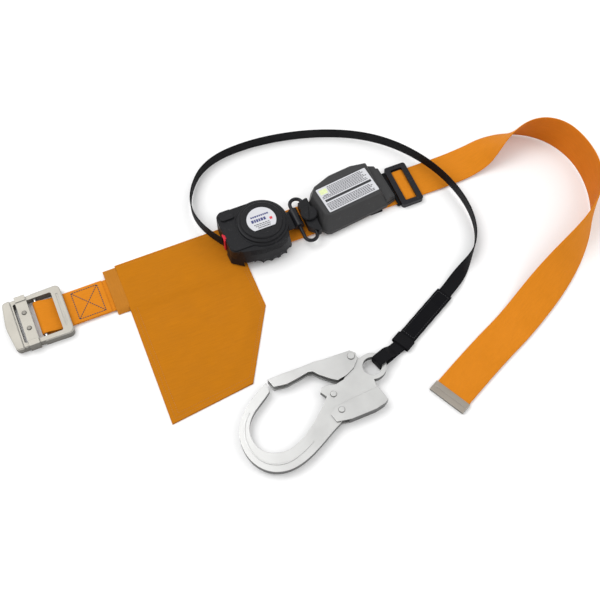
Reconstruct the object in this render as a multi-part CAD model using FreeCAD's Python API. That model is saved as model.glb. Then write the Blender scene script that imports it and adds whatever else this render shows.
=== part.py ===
import FreeCAD, Part
import math
import os

# Waist belt with a belt-mounted self retracting lanyard.
# Lengths in mm. X runs along the straight stretch of the belt from the buckle
# to the three-bar slide, Y across the belt, Z up from the surface it lies on.
# The layout is drawn about the axis of the retractor drum and moved at the end
# so that the origin is the middle of the footprint at floor level.

# ---------------------------------------------------------------- driving sizes
belt_width = 50.0
belt_thick = 2.0
belt_under = 1.6            # height of the underside of the straight belt
buckle_length = 82.0
buckle_width = belt_width + 26.0
buckle_height = 11.0
buckle_y = -8.0             # the buckle and the sewn fold lie a little nearer than the drum axis
retractor_radius = 36.5
retractor_depth = 38.0
retractor_left = retractor_radius + 17.5    # drum axis to the wall with the webbing mouth
retractor_wall = 2.2
lanyard_width = 18.0
lanyard_thick = 1.6
pack_length = 104.0
pack_width = 70.0
pack_height = 25.0
pouch_depth = 246.0
pouch_length = 164.0
cloth_thick = 1.1
hook_plate = 8.0
eye_radius = 12.5
eye_rim = 6.0
ring_wire = 5.0
running = 0.05              # radial clearance of a turning pin
snug = 0.1                  # clearance between parts that are fixed together
loose = 0.3                 # clearance of cloth and webbing

Z = FreeCAD.Vector(0, 0, 1)
belt_top = belt_under + belt_thick


def vec(x, y, z=0.0):
    return FreeCAD.Vector(x, y, z)


def box(x0, x1, y0, y1, z0, z1):
    return Part.makeBox(x1 - x0, y1 - y0, z1 - z0, vec(x0, y0, z0))


def rod(x, y, z0, z1, r):
    return Part.makeCylinder(r, z1 - z0, vec(x, y, z0))


def tube(x, y, z0, z1, r_in, r_out):
    return rod(x, y, z0, z1, r_out).cut(rod(x, y, z0 - 1, z1 + 1, r_in))


def bar_y(x, z, y0, y1, r):
    return Part.makeCylinder(r, y1 - y0, vec(x, y0, z), vec(0, 1, 0))


def ring_of(points):
    return Part.makePolygon([vec(*p) for p in points] + [vec(*points[0])])


def prism(points, z0, z1):
    face = Part.Face(ring_of([(p[0], p[1], z0) for p in points]))
    return face.extrude(vec(0, 0, z1 - z0))


def rounded_wire(points, radius, z):
    """Closed outline through the points with every corner rounded."""
    edges = []
    count = len(points)
    ends = []
    for i in range(count):
        a, b, c = (vec(*points[k % count][:2], z) for k in (i - 1, i, i + 1))
        to_a, to_c = (a - b).normalize(), (c - b).normalize()
        half = to_a.getAngle(to_c) / 2
        r = radius[i] if isinstance(radius, (list, tuple)) else radius
        back = r / math.tan(half)
        p, q = b + to_a * back, b + to_c * back
        mid = (to_a + to_c).normalize()
        top = b + mid * (r / math.sin(half) - r)
        ends.append((p, top, q))
    for i in range(count):
        p, top, q = ends[i]
        nxt = ends[(i + 1) % count][0]
        edges.append(Part.Arc(p, top, q).toShape())
        if q.distanceToPoint(nxt) > 1e-6:
            edges.append(Part.makeLine(q, nxt))
    return Part.Wire(edges)


def rounded_prism(points, radius, z0, z1):
    return Part.Face(rounded_wire(points, radius, z0)).extrude(vec(0, 0, z1 - z0))


def rect(x0, x1, y0, y1):
    return [(x0, y0), (x1, y0), (x1, y1), (x0, y1)]


def profile_y(points, y0, y1):
    """Outline in the XZ plane, carried from y0 to y1."""
    face = Part.Face(ring_of([(p[0], y0, p[1]) for p in points]))
    return face.extrude(vec(0, y1 - y0, 0))


def profile_x(points, x0, x1):
    """Outline in the YZ plane, carried from x0 to x1."""
    face = Part.Face(ring_of([(x0, p[0], p[1]) for p in points]))
    return face.extrude(vec(x1 - x0, 0, 0))


def revolve_z(points, x=0.0, y=0.0):
    """Outline of (radius, height) turned about a vertical axis."""
    face = Part.Face(ring_of([(x + p[0], y, p[1]) for p in points]))
    return face.revolve(vec(x, y, 0), Z, 360)


def one_solid(shape):
    shape = shape.removeSplitter()
    return shape.Solids[0] if len(shape.Solids) == 1 else shape


def turned(shape, x, y, degrees, axis=Z, z=0.0):
    out = shape.copy()
    out.rotate(vec(x, y, z), axis, degrees)
    return out


def stations(points, step):
    """Points and headings along straight runs joined by tangent arcs."""
    pts = [vec(*p) for p in points]
    out, radii, length = [], [], 0.0
    cur = pts[0]
    out.append((cur, (pts[1] - pts[0]).normalize(), 0.0))
    for i in range(1, len(pts)):
        if i == len(pts) - 1:
            end = pts[i]
            arc = None
        else:
            a, b, c = pts[i - 1], pts[i], pts[i + 1]
            run = min(a.distanceToPoint(b), b.distanceToPoint(c))
            d1, d2 = (b - a).normalize(), (c - b).normalize()
            half = d1.getAngle(d2) / 2
            back = 0.45 * run
            radii.append(round(back / math.tan(half), 1))
            end = b - d1 * back
            arc = (end, b, d1, d2, half, back)
        d = (end - cur).normalize()
        straight = cur.distanceToPoint(end)
        parts = max(1, int(math.ceil(straight / (step * 2.0))))
        for k in range(1, parts + 1):
            length += straight / parts
            out.append((cur + d * (straight * k / parts), d, length))
        cur = end
        if arc:
            start, corner, d1, d2, half, back = arc
            r = back / math.tan(half)
            normal = (d2 - d1 * d1.dot(d2)).normalize()
            centre = start + normal * r
            turn = 2 * half
            parts = max(2, int(math.ceil(r * turn / step)))
            for k in range(1, parts + 1):
                t = turn * k / parts
                p = centre - normal * (r * math.cos(t)) + d1 * (r * math.sin(t))
                h = d1 * math.cos(t) + normal * math.sin(t)
                length += r * turn / parts
                out.append((p, h, length))
            cur = out[-1][0]
    return out, radii, length


def smooth(t):
    t = max(0.0, min(1.0, t))
    return t * t * (3 - 2 * t)


def ribbon(sections):
    """Straight-ruled solid through rectangular sections given by their corners."""
    wires = [Part.makePolygon(list(c) + [c[0]]) for c in sections]
    return Part.makeLoft(wires, True, True)


nodes = {}

# ---------------------------------------------------------------- waist belt
bar_x, bar_r = -316.0, 2.5
fold_in = bar_r + snug
fold_out = fold_in + belt_thick
bar_z = belt_under + fold_out
sewn_end = -226.0
sewn_start = -296.0
half_belt = belt_width / 2
slide_x = 213.0             # middle bar of the three-bar slide
tail_x = 236.0              # where the free tail begins

# fold round the buckle bar: outer skin less the space inside it
fold = bar_y(bar_x, bar_z, -half_belt, half_belt, fold_out)
lower = profile_y(
    [(bar_x, belt_under), (sewn_end, belt_under), (sewn_end, belt_top + belt_thick),
     (sewn_start, belt_top + belt_thick), (bar_x + 1.6, bar_z + fold_out * 0.937)],
    -half_belt, half_belt)
inside = profile_y(
    [(bar_x, bar_z - fold_in), (sewn_start - 4, belt_top), (bar_x + 1.0, bar_z + fold_in * 0.92)],
    -half_belt - 1, half_belt + 1)
hollow = bar_y(bar_x, bar_z, -half_belt - 1, half_belt + 1, fold_in)
hump = 1.7                  # rise of the belt over the middle bar of the slide
straight_from = -61.0       # the belt is straight and central from here on
body_profile = [
    (straight_from, belt_under), (slide_x - 9, belt_under), (slide_x - 5, belt_under + hump),
    (slide_x + 5, belt_under + hump), (slide_x + 9, belt_under), (tail_x, belt_under),
    (tail_x, belt_top), (slide_x + 8.6, belt_top), (slide_x + 4.6, belt_top + hump),
    (slide_x - 4.6, belt_top + hump), (slide_x - 8.6, belt_top), (straight_from, belt_top)]
straight = profile_y(body_profile, -half_belt, half_belt)
fold_part = fold.fuse(lower).cut(inside).cut(hollow)
fold_part.translate(vec(0, buckle_y, 0))
# easy sideways bend under the pouch, between the buckle end and the straight stretch
shift_from, shift_to = -205.0, straight_from - 9.0
sideways = prism([(sewn_end - 1, buckle_y - half_belt), (shift_from, buckle_y - half_belt),
                  (shift_to, -half_belt), (shift_to + 10, -half_belt), (shift_to + 10, half_belt),
                  (shift_to, half_belt), (shift_from, buckle_y + half_belt),
                  (sewn_end - 1, buckle_y + half_belt)],
                 belt_under, belt_top)

# free tail: its outer edge stays on the floor while the strap stands up in the bend
tail_edge = [(tail_x, half_belt, 0), (296, half_belt - 1, 0), (366, 34, 0), (426, 6, 0),
             (455, -50, 0), (448, -118, 0), (414, -176, 0), (356, -228, 0),
             (276, -274, 0), (206, -304, 0), (137, -339, 0)]
edge_path, edge_radii, tail_length = stations(tail_edge, 7.0)
stand_from, stand_full = 58.0, 240.0
lie_from, lie_full = tail_length - 430.0, tail_length - 130.0
lean = 104.0                # roll of the strap in the bend, a little past upright


def tail_section(point, heading, s):
    left = Z.cross(heading).normalize()
    roll = math.radians(lean) * (smooth((s - stand_from) / (stand_full - stand_from))
                               - smooth((s - lie_from) / (lie_full - lie_from)))
    across = left * -math.cos(roll) + Z * math.sin(roll)
    up = left * math.sin(roll) + Z * math.cos(roll)
    base = vec(point.x, point.y, belt_under * (1 - math.sin(roll) * 0.6) + belt_thick / 2)
    half = up * (belt_thick / 2)
    far = base + across * belt_width
    return (base - half, far - half, far + half, base + half)


tail_sections = [tail_section(*s) for s in edge_path]
tail = ribbon(tail_sections)
nodes["belt_webbing"] = one_solid(fold_part.fuse([sideways, straight, tail]))

# pressed clip on the free end of the tail
end_point, end_dir, _ = edge_path[-1]
clip_angle = math.degrees(math.atan2(end_dir.y, end_dir.x))
clip_length, clip_sheet, clip_play = 15.0, 0.9, 0.05
clip_low, clip_high = belt_under - clip_play, belt_top + clip_play
clip = box(2.2 - clip_length, 2.2, -belt_width - 1.2, 1.2, clip_low - clip_sheet, clip_high + clip_sheet)
clip = clip.cut(box(-clip_length, snug, -belt_width - 0.15, 0.15, clip_low, clip_high))
for level in (clip_low - clip_sheet, clip_high + clip_sheet):
    clip = clip.cut(bar_y(-5.5, level, -belt_width + 2, -2, 0.45))
clip.rotate(vec(0, 0, 0), Z, clip_angle)
clip.translate(vec(end_point.x, end_point.y, 0))
nodes["belt_end_clip"] = clip

# ---------------------------------------------------------------- buckle
buckle_right = -280.0
buckle_left = buckle_right - buckle_length
rail = 8.0
half_buckle = buckle_width / 2
half_window = half_buckle - rail
right_bar = 13.0
bow = 5.0                   # how far the left end is bowed outwards
window_left = buckle_left + 17.0
outline = [(buckle_left + bow, -half_buckle + 2), (buckle_right, -half_buckle),
           (buckle_right, half_buckle), (buckle_left + bow, half_buckle - 2),
           (buckle_left, 0)]
frame = rounded_prism(outline, [6, 7, 7, 6, 60], 0, buckle_height)
frame = frame.fuse(rounded_prism(
    [(x + (0.9 if x < -300 else -0.9), y * 0.975) for x, y in outline], [6, 7, 7, 6, 60],
    buckle_height, buckle_height + 0.8))
window = rounded_prism(rect(window_left, buckle_right - right_bar, -half_window, half_window),
                       2.5, -1, buckle_height + 2)
frame = frame.cut(window)
# the sewn belt end passes under the right bar
frame = frame.cut(box(buckle_right - right_bar - 1, buckle_right + 1, -half_belt - 1,
                      half_belt + 1, -1, belt_top + belt_thick + 0.5))
# recess for the end cover and grooves for the lugs of the sliding plate
cover_floor = 6.0
cover_edge = window_left - 2.0
frame = frame.cut(box(buckle_left - 1, cover_edge, -half_buckle - 1, half_buckle + 1,
                      cover_floor, buckle_height + 2))
plate_x0, plate_x1 = -341.0, -326.0
lug_travel = 6.0
lug_sheet = 1.6
for side in (-1, 1):
    y0, y1 = sorted((side * (half_buckle - 1.9), side * (half_buckle + 1)))
    frame = frame.cut(box(plate_x0 - 1, plate_x1 + lug_travel + 1, y0, y1, -1, buckle_height + 2))
    frame = frame.cut(box(plate_x0 - 1, plate_x1 + lug_travel + 1, *sorted(
        (side * (half_window - 0.01), side * (half_buckle + 1))), -1, 1.9))
# groove along the top of the right bar
frame = frame.cut(box(buckle_right - 8.0, buckle_right - 5.0, -half_belt, half_belt,
                      buckle_height + 0.2, buckle_height + 2))
# seats of the bar that carries the belt fold
bar_seat = half_window + 3.0
frame = frame.cut(bar_y(bar_x, bar_z, -bar_seat, bar_seat, bar_r + 0.02))
nodes["buckle_frame"] = one_solid(frame)
nodes["buckle_bar"] = bar_y(bar_x, bar_z, -bar_seat + snug, bar_seat - snug, bar_r)

cover_outline = [(buckle_left + bow - 0.6, -half_buckle + 1.4), (cover_edge - 0.3, -half_buckle + 0.4),
                 (cover_edge - 0.3, half_buckle - 0.4), (buckle_left + bow - 0.6, half_buckle - 1.4),
                 (buckle_left - 0.6, 0)]
end_cover = rounded_prism(cover_outline, [5, 1.5, 1.5, 5, 60], cover_floor + snug, buckle_height + 0.6)
inner_cover = [(x + 1.1 if x < cover_edge - 2 else x - 0.8, y * 0.965) for x, y in cover_outline]
end_cover = end_cover.fuse(rounded_prism(inner_cover, [4, 1, 1, 4, 60], buckle_height + 0.6,
                                         buckle_height + 1.6))
nodes["buckle_end_cover"] = one_solid(end_cover)

# sliding plate: lugs wrap round both rails
lug_out = half_buckle - 1.9 + 0.25
plate_low, plate_high = buckle_height + 1.1, buckle_height + 2.9
slider = box(plate_x0, plate_x1, -half_window - 2, half_window + 2, plate_low, plate_high)
slider = slider.fuse(box(plate_x0 + 1.0, plate_x1 - 1.5, -half_window + 0.6, half_window - 0.6, 4.0,
                         plate_low))
for side in (-1, 1):
    y0, y1 = sorted((side * half_window, side * (lug_out + lug_sheet)))
    slider = slider.fuse(rounded_prism(rect(plate_x0 + 0.5, plate_x1 - 0.5, y0, y1), 0.7,
                                       plate_low, plate_high + 1.4))
    y0, y1 = sorted((side * lug_out, side * (lug_out + lug_sheet)))
    slider = slider.fuse(box(plate_x0 + 0.5, plate_x1 - 0.5, y0, y1, 0.2, plate_low + 0.5))
    y0, y1 = sorted((side * (half_window + 2.0), side * (lug_out + lug_sheet)))
    slider = slider.fuse(box(plate_x0 + 0.5, plate_x1 - 0.5, y0, y1, 0.2, 1.6))
rivet_r = 2.0
rivet_at = (-12.0, 12.0)
plate_mid = (plate_x0 + plate_x1) / 2
for y in rivet_at:
    slider = slider.cut(rod(plate_mid, y, 2.0, plate_high + 1, rivet_r + 0.02))
nodes["buckle_slider"] = one_solid(slider)
rivets = []
for y in rivet_at:
    shank = rod(plate_mid, y, 5.0, plate_high + 0.1, rivet_r)
    head = Part.makeCone(3.4, 2.4, 1.2, vec(plate_mid, y, plate_high + 0.05))
    rivets.append(shank.fuse(head).removeSplitter())
nodes["slider_rivets"] = Part.makeCompound([r.Solids[0] for r in rivets])
for name in ("buckle_frame", "buckle_bar", "buckle_end_cover", "buckle_slider", "slider_rivets"):
    moved = nodes[name].copy()
    moved.translate(vec(0, buckle_y, 0))
    nodes[name] = moved

# ---------------------------------------------------------------- three-bar slide
slide_half_x, slide_half_y, slide_bar = 16.0, half_belt + 8.0, 7.5
over = belt_top + loose
slide_top = over + 4.0
slide_in_y = half_belt + 1.5
slide = rounded_prism(rect(slide_x - slide_half_x, slide_x + slide_half_x, -slide_half_y, slide_half_y),
                      4.0, 0.2, slide_top)
slide = slide.cut(rounded_prism(rect(slide_x - slide_half_x + slide_bar, slide_x + slide_half_x - slide_bar,
                                     -slide_in_y, slide_in_y), 1.5, -1, slide_top + 1))
slide = slide.cut(box(slide_x - slide_half_x - 1, slide_x + slide_half_x + 1, -slide_in_y, slide_in_y, -1,
                      over))
middle = profile_y([(slide_x - 4.2, 0.4), (slide_x + 4.2, 0.4), (slide_x + 4.2, 2.4), (slide_x + 3.4, 3.0),
                    (slide_x - 3.4, 3.0), (slide_x - 4.2, 2.4)], -slide_in_y - 1, slide_in_y + 1)
nodes["triglide"] = one_solid(slide.fuse(middle))

# ---------------------------------------------------------------- energy absorber pack
pack_x, pack_y, pack_turn = 130.0, 5.5, 6.5
pack_low = belt_top + 0.6
split = pack_low + 6.0
pack_top = pack_low + pack_height
half_pack = pack_width / 2


def pack_frame(shape):
    out = shape.copy()
    out.rotate(vec(0, 0, 0), Z, pack_turn)
    out.translate(vec(pack_x, pack_y, 0))
    return out


half_nominal = 35.0         # the outlines below are drawn for a pack this far each side
foot = [(-51, -34), (-46, -36), (44, -35.5), (47.5, 33), (24, 38.5), (-12, 38.8), (-41, 32.5),
        (-52, 19), (-56, -26)]
crown = [(-44, -21), (-40, -23), (39, -26), (45, 29.5), (23, 35.5), (-11, 35.8), (-37, 29.5),
         (-47, 18.5), (-47, -16)]
foot = [(x, y * half_pack / half_nominal) for x, y in foot]
crown = [(x, y * half_pack / half_nominal) for x, y in crown]
wall = 2.0


def inset(points, by):
    """Outline drawn towards its middle by a fixed share."""
    size = max(abs(p[0]) for p in points)
    k = 1 - by / size
    kk = 1 - by / max(abs(p[1]) for p in points)
    return [(x * k, y * kk) for x, y in points]


pack_base = rounded_prism(foot, 2.0, pack_low, split)
pack_base = pack_base.cut(rounded_prism(inset(foot, wall), 1.0, pack_low + 1.6, split + 1))
flange = rounded_prism([(42, -34), (58, -32), (61, 20), (45, 31)], 2.5, pack_low, split)
pack_base = pack_base.fuse(flange.cut(rounded_prism(inset(foot, wall), 1.0, pack_low + 1.6, split + 1)))
shell = Part.makeLoft([rounded_wire(foot, 2.0, split + 0.1), rounded_wire(crown, 2.0, pack_top - 1.5)], True,
                      True)
cap = Part.makeLoft([rounded_wire(crown, 2.0, pack_top - 1.5),
                     rounded_wire(inset(crown, 1.5), 2.0, pack_top)], True, True)
cover = shell.fuse(cap)
void = Part.makeLoft([rounded_wire(inset(foot, wall), 1.0, split - 0.5),
                      rounded_wire(inset(crown, wall + 1.0), 1.0, pack_top - 2.2)], True, True)
cover = cover.cut(void)
step_low = rounded_prism([(41.9, -33.0), (53, -31.6), (56, 23.5), (43.5, 31)], 2.0, split + 0.1, split + 9)
step_high = rounded_prism([(45, -32.5), (57.5, -31), (60.5, 20), (46, 29)], 2.0, split + 0.1, split + 5)
cover = cover.fuse([step_low, step_high]).cut(void)
recess = rounded_prism(rect(-39.5, 39.5, -18.5, 23.0), 1.5, pack_top - 0.5, pack_top + 1)
cover = cover.cut(recess)
label = rounded_prism(rect(-39.0, 39.0, -18.0, 22.5), 1.2, pack_top - 0.45, pack_top + 0.05)
boss_r, screw_r = 3.4, 1.4
bosses = [(-42, -26), (-36, 21), (37, -26), (36, 24)]
bosses = [(x, y * half_pack / half_nominal) for x, y in bosses]
for x, y in bosses:
    pack_base = pack_base.fuse(rod(x, y, pack_low + 1.0, split, boss_r))
    pack_base = pack_base.cut(rod(x, y, pack_low - 1, split + 1, screw_r + 0.1))
    pack_base = pack_base.cut(rod(x, y, pack_low - 1, pack_low + 1.5, 2.9))
    cover = cover.fuse(rod(x, y, split + 0.1, pack_top - 1.0, boss_r).common(shell))
    cover = cover.cut(rod(x, y, split - 1, split + 7, screw_r + 0.02))
screws = []
for x, y in bosses:
    screw = rod(x, y, pack_low + 0.2, split + 6, screw_r).fuse(rod(x, y, pack_low + 0.1, pack_low + 1.4, 2.7))
    screws.append(screw.removeSplitter().Solids[0])
# tear webbing: folded strap inside the pack
folds = []
leaf, gap_z, leaf_count = 1.7, 0.5, 6
strap_low = pack_low + 2.2
for k in range(leaf_count):
    z0 = strap_low + k * (leaf + gap_z)
    folds.append(box(-30, 28, -16, 16, z0, z0 + leaf))
    if k < leaf_count - 1:
        x0 = 26.3 if k % 2 == 0 else -30
        folds.append(box(x0, x0 + 1.7, -16, 16, z0, z0 + 2 * leaf + gap_z))
tear = folds[0].fuse(folds[1:]).removeSplitter()
# two keepers under the pack hold it to the belt
placed_keepers = []
keeper_in, keeper_sheet, keeper_half = half_belt + loose + 0.1, 1.2, 9.0
for x in (pack_x - 32.0, pack_x + 30.0):
    keeper = box(x - keeper_half, x + keeper_half, -keeper_in - keeper_sheet, keeper_in + keeper_sheet, 0.1,
                 1.2)
    for y in (-keeper_in - keeper_sheet, keeper_in):
        keeper = keeper.fuse(box(x - keeper_half, x + keeper_half, y, y + keeper_sheet, 0.1, pack_low - 0.05))
    placed_keepers.append(keeper.removeSplitter().Solids[0])
nodes["pack_base"] = one_solid(pack_frame(pack_base))
nodes["pack_cover"] = one_solid(pack_frame(cover))
nodes["pack_label"] = pack_frame(label)
nodes["pack_screws"] = Part.makeCompound([pack_frame(s).Solids[0] for s in screws])
nodes["tear_webbing"] = one_solid(pack_frame(tear))
nodes["pack_keepers"] = Part.makeCompound(placed_keepers)

# ---------------------------------------------------------------- link between pack and retractor
link_z = 14.0
link_x0, link_x1 = 50.5, 68.0       # the two straight sides of the ring
link_y0, link_y1 = -31.0, 22.0      # where the sides turn into the ends
wire = ring_wire / 2
link_r = (link_x1 - link_x0) / 2
mid_x = (link_x0 + link_x1) / 2
sides = [bar_y(link_x0, link_z, link_y0, link_y1, wire), bar_y(link_x1, link_z, link_y0, link_y1, wire)]
donut = Part.makeTorus(link_r, wire, vec(0, 0, 0), Z)
low_end = donut.common(box(-50, 50, -50, 0, -9, 9))
high_end = donut.common(box(-50, 50, 0, 50, -9, 9))
low_end.translate(vec(mid_x, link_y0, link_z))
high_end.translate(vec(mid_x, link_y1, link_z))
nodes["link_ring"] = one_solid(sides[0].fuse([sides[1], low_end, high_end]))

connector = rounded_prism([(60.0, -20), (71, -32), (75.5, -32), (75.5, 23), (72, 23), (60.0, 19)], 1.0, 8.0,
                          20.0)
connector = connector.cut(bar_y(link_x1, link_z, -60, 60, wire + 0.02))
knob_y, knob_r = -3.0, 11.3
connector = connector.cut(rod(link_x1, knob_y, 17.5, 21, 3.02))
knob = rod(link_x1, knob_y, 20.1, 23.6, knob_r).fuse(rod(link_x1, knob_y, 23.6, 24.6, knob_r - 0.9))
knob = knob.cut(box(link_x1 - 15, link_x1 + 15, knob_y - 0.9, knob_y + 0.9, 23.2, 25))
knob = knob.fuse(rod(link_x1, knob_y, 17.6, 20.2, 3.0))
nodes["connector_knob"] = one_solid(turned(knob, link_x1, knob_y, 70))
# tongue of the connector, held inside the pack
tongue_end = pack_x - 32.5
tongue = box(link_x1 + 6.0, tongue_end, -13, 11, 12.0, 15.0)
nodes["connector_block"] = one_solid(connector.fuse(tongue))
slot = box(link_x1 + 7, pack_x - 32.0, -13.1, 11.1, 11.9, 15.1)
nodes["pack_cover"] = one_solid(nodes["pack_cover"].cut(slot))
# dark webbing keeper between pack and slide
band_x0, band_x1 = 191.8, 196.4
band = box(band_x0, band_x1, -half_belt - 3.2, half_belt + 3.2, 0.1, over + 2.2)
band = band.cut(box(band_x0 - 1, band_x1 + 1, -half_belt - 1.6, half_belt + 1.6, 1.3, over + 0.2))
nodes["belt_keeper"] = one_solid(band)

# ---------------------------------------------------------------- retractor
case_low = 5.6
case_top = case_low + retractor_depth
parting = 25.0
box_low, box_high, box_corner = 6.5 - retractor_radius, retractor_radius, 9.0
case_box = rect(-retractor_left, 4.0, box_low, box_high)
r_case = retractor_radius
r_room = r_case - retractor_wall
lid = 2.2
back = rod(0, 0, case_low + 1.2, parting, r_case).fuse(
    rounded_prism(case_box, box_corner, case_low + 1.2, parting))
back = back.fuse(revolve_z([(0, case_low), (r_case - 1.2, case_low), (r_case, case_low + 1.2),
                            (0, case_low + 1.2)]))
back = back.fuse(rounded_prism([(x + (1.2 if x < 0 else 0), y * 0.96) for x, y in case_box], box_corner - 1,
                               case_low, case_low + 1.2))
front_edge = parting + 11.0
front = revolve_z([(0, parting + 0.1), (r_case, parting + 0.1), (r_case, front_edge),
                   (r_case - 1.5, front_edge + 1.5),
                   (r_case - 3.2, front_edge + 1.5), (r_case - 3.9, front_edge + 4.2),
                   (r_case - 5.6, front_edge + 5.0), (r_case - 7.6, front_edge + 5.0),
                   (r_case - 8.2, case_top - 0.8), (r_case - 9.4, case_top), (0, case_top)])
front = front.fuse(rounded_prism(case_box, box_corner, parting + 0.1, front_edge - 1.0))
front = front.fuse(rounded_prism([(x + (1.4 if x < 0 else 0), y * 0.955) for x, y in case_box],
                                 box_corner - 1, front_edge - 1.0, front_edge + 0.6))
corner_pad = rounded_prism(rect(4.0 - retractor_left, 23.0 - retractor_left, box_high - 16.5,
                                box_high - 2.0), 4.0,
                           front_edge - 2, front_edge + 3.4)
front = front.fuse(corner_pad)
# fuller near side, spreading towards the floor
nominal_r = 36.5            # the outlines below are drawn for a drum case of this radius
spread_low = [(-56, -10), (-55.5, -27), (-37, -41), (-8, -44.5), (23, -42), (31.5, -31), (31.5, -10)]
spread_high = [(-53, -10), (-51, -22), (-40, -32.5), (-13, -38.8), (8, -39.6), (27.5, -33), (31, -10)]
spread_low = [(x * r_case / nominal_r, y * r_case / nominal_r) for x, y in spread_low]
spread_high = [(x * r_case / nominal_r, y * r_case / nominal_r) for x, y in spread_high]
spread = Part.makeLoft([rounded_wire(spread_low, 3.0, case_low + 1.2),
                        rounded_wire(spread_high, 3.0, front_edge - 1.0)],
                       True, True)
back = back.fuse(spread.common(box(-100, 100, -100, 100, 0, parting)))
front = front.fuse(spread.common(box(-100, 100, -100, 100, parting + 0.1, 60)))
room_box = rounded_prism(rect(-retractor_left + retractor_wall, 4.0, box_low + retractor_wall,
                              box_high - retractor_wall),
                         box_corner - retractor_wall, case_low + lid, front_edge - 1.6)
room = rod(0, 0, case_low + lid, front_edge, r_room).fuse([
    rod(0, 0, front_edge - 1, front_edge + 3.0, r_case - 5.0),
    rod(0, 0, front_edge + 2, case_top - lid, r_case - 10.4)])
room = room.fuse(room_box)
back, front = back.cut(room), front.cut(room)
# mouth of the webbing in the left wall
mouth_y, mouth_half = -2.0, 3.4
web_low = 16.0
web_mid = web_low + lanyard_width / 2
web_high = web_low + lanyard_width
mouth_z0, mouth_z1 = web_low - 3.0, front_edge - 0.6
mouth = box(-retractor_left - 1, -retractor_left + retractor_wall + 1, mouth_y - mouth_half,
            mouth_y + mouth_half,
            mouth_z0, mouth_z1)
back, front = back.cut(mouth), front.cut(mouth)
# slot for the ear in the right wall
ear_y0, ear_y1 = -13.0, 15.0
ear_slot = box(r_room - 8, r_case + 8, ear_y0 - 0.2, ear_y1 + 0.2, 12.8, 15.1)
back = back.cut(ear_slot)
# screw posts
post_r, case_screw_r = 3.2, 1.5
post_ring, post_angle = retractor_radius - 4.3, math.radians(62)
posts = [(7.5 - retractor_left, box_low + 7.5), (7.5 - retractor_left, box_high - 8.0)]
for a in (-post_angle, post_angle):
    posts.append((post_ring * math.cos(a), post_ring * math.sin(a)))
solid_case = rod(0, 0, case_low, front_edge, r_case - 0.5).fuse(
    rounded_prism(case_box, box_corner, case_low, front_edge - 1.0))
case_screws = []
for x, y in posts:
    back = back.fuse(rod(x, y, case_low + 1, parting, post_r).common(solid_case))
    front = front.fuse(rod(x, y, parting + 0.1, front_edge - 1.1, post_r).common(solid_case))
    back = back.cut(rod(x, y, case_low - 1, parting + 1, case_screw_r + 0.1))
    back = back.cut(rod(x, y, case_low - 1, case_low + 2.2, 2.9))
    front = front.cut(rod(x, y, parting - 1, parting + 8, case_screw_r + 0.02))
    screw = rod(x, y, case_low + 0.4, parting + 7, case_screw_r)
    screw = screw.fuse(rod(x, y, case_low + 0.3, case_low + 2.0, 2.7))
    case_screws.append(screw.removeSplitter().Solids[0])
# ribs on the near side of the front cover, and the shallow scallops under them
rib_count, rib_pitch, rib_depth = 4, 2.2, 0.7
for k in range(rib_count):
    z0 = parting + 1.6 + k * rib_pitch
    t = (z0 - case_low - 1.2) / (front_edge - case_low - 2.2)
    level = [(a[0] + (b[0] - a[0]) * t, a[1] + (b[1] - a[1]) * t) for a, b in zip(spread_low, spread_high)]
    groove = rounded_prism([(x * 1.03, y * 1.03) for x, y in level], 3.0, z0, z0 + 0.9)
    within = 1 - rib_depth / nominal_r
    groove = groove.cut(rounded_prism([(x * within, y * within) for x, y in level], 3.0, z0 - 1, z0 + 2))
    front = front.cut(groove.common(box(-30, 24, -60, -20, z0 - 1, z0 + 2)))
for a in range(-132, -56, 15):
    reach = r_case * 1.17 + 7.0
    back = back.cut(rod(reach * math.cos(math.radians(a)), reach * math.sin(math.radians(a)), case_low - 1,
                        case_low + 9, 7.2))
label_r = 20.0
seat = rod(0, 0, case_top - 0.7, case_top + 1, label_r + 0.1)
front = front.cut(seat)
disc = rod(0, 0, case_top - 0.65, case_top - 0.1, label_r)
disc = disc.cut(box(-30, 30, -30, -13.5, case_top - 2, case_top + 2))
nodes["retractor_back_cover"] = one_solid(back)
nodes["retractor_front_cover"] = one_solid(front)
nodes["retractor_label"] = disc
nodes["retractor_screws"] = Part.makeCompound(case_screws)

# webbing guide in the mouth
guide = rounded_prism(rect(-retractor_left - 2.4, -retractor_left + retractor_wall + 0.8,
                           mouth_y - mouth_half + snug, mouth_y + mouth_half - snug),
                      0.8, mouth_z0 + snug, mouth_z1 - snug)
guide = guide.fuse(rounded_prism(rect(-retractor_left - 2.4, -retractor_left - snug,
                                      mouth_y - mouth_half - 2.2, mouth_y + mouth_half + 2.2), 0.9,
                                 mouth_z0 - 2.0, mouth_z1 - 0.6))
guide = guide.cut(box(-retractor_left - 5, -retractor_left + 6, mouth_y - 1.6, mouth_y + 1.6,
                      web_low - 0.8, web_high + 0.5))
nodes["webbing_guide"] = one_solid(guide)

# steel frame: two plates joined by a wall, with the ear that carries the load
plate = 1.5
frame_low, frame_high = 13.2, 35.4
core_r, flange_r, roll_r = 9.0, 26.0, 20.9
wall_x = r_room - 5.9
plate_outline = [(-23, -17), (16, -17), (wall_x + 1.5, -9), (wall_x + 1.5, 9), (16, 17), (-23, 17)]
steel = rounded_prism(plate_outline, 3.0, frame_low, frame_low + plate)
steel = steel.fuse(rounded_prism(plate_outline, 3.0, frame_high, frame_high + plate))
steel = steel.fuse(box(wall_x, wall_x + 1.5, -8.5, 8.5, frame_low, frame_high + plate))
ear_r = 6.4
steel = steel.fuse(box(wall_x - 4, link_x0, ear_y0, ear_y1, frame_low, frame_low + plate))
steel = steel.fuse(bar_y(link_x0, link_z, ear_y0, ear_y1, ear_r))
steel = steel.cut(bar_y(link_x0, link_z, ear_y0 - 5, ear_y1 + 5, wire + running))
shaft_r = 4.0
bush_r = 6.0
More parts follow.
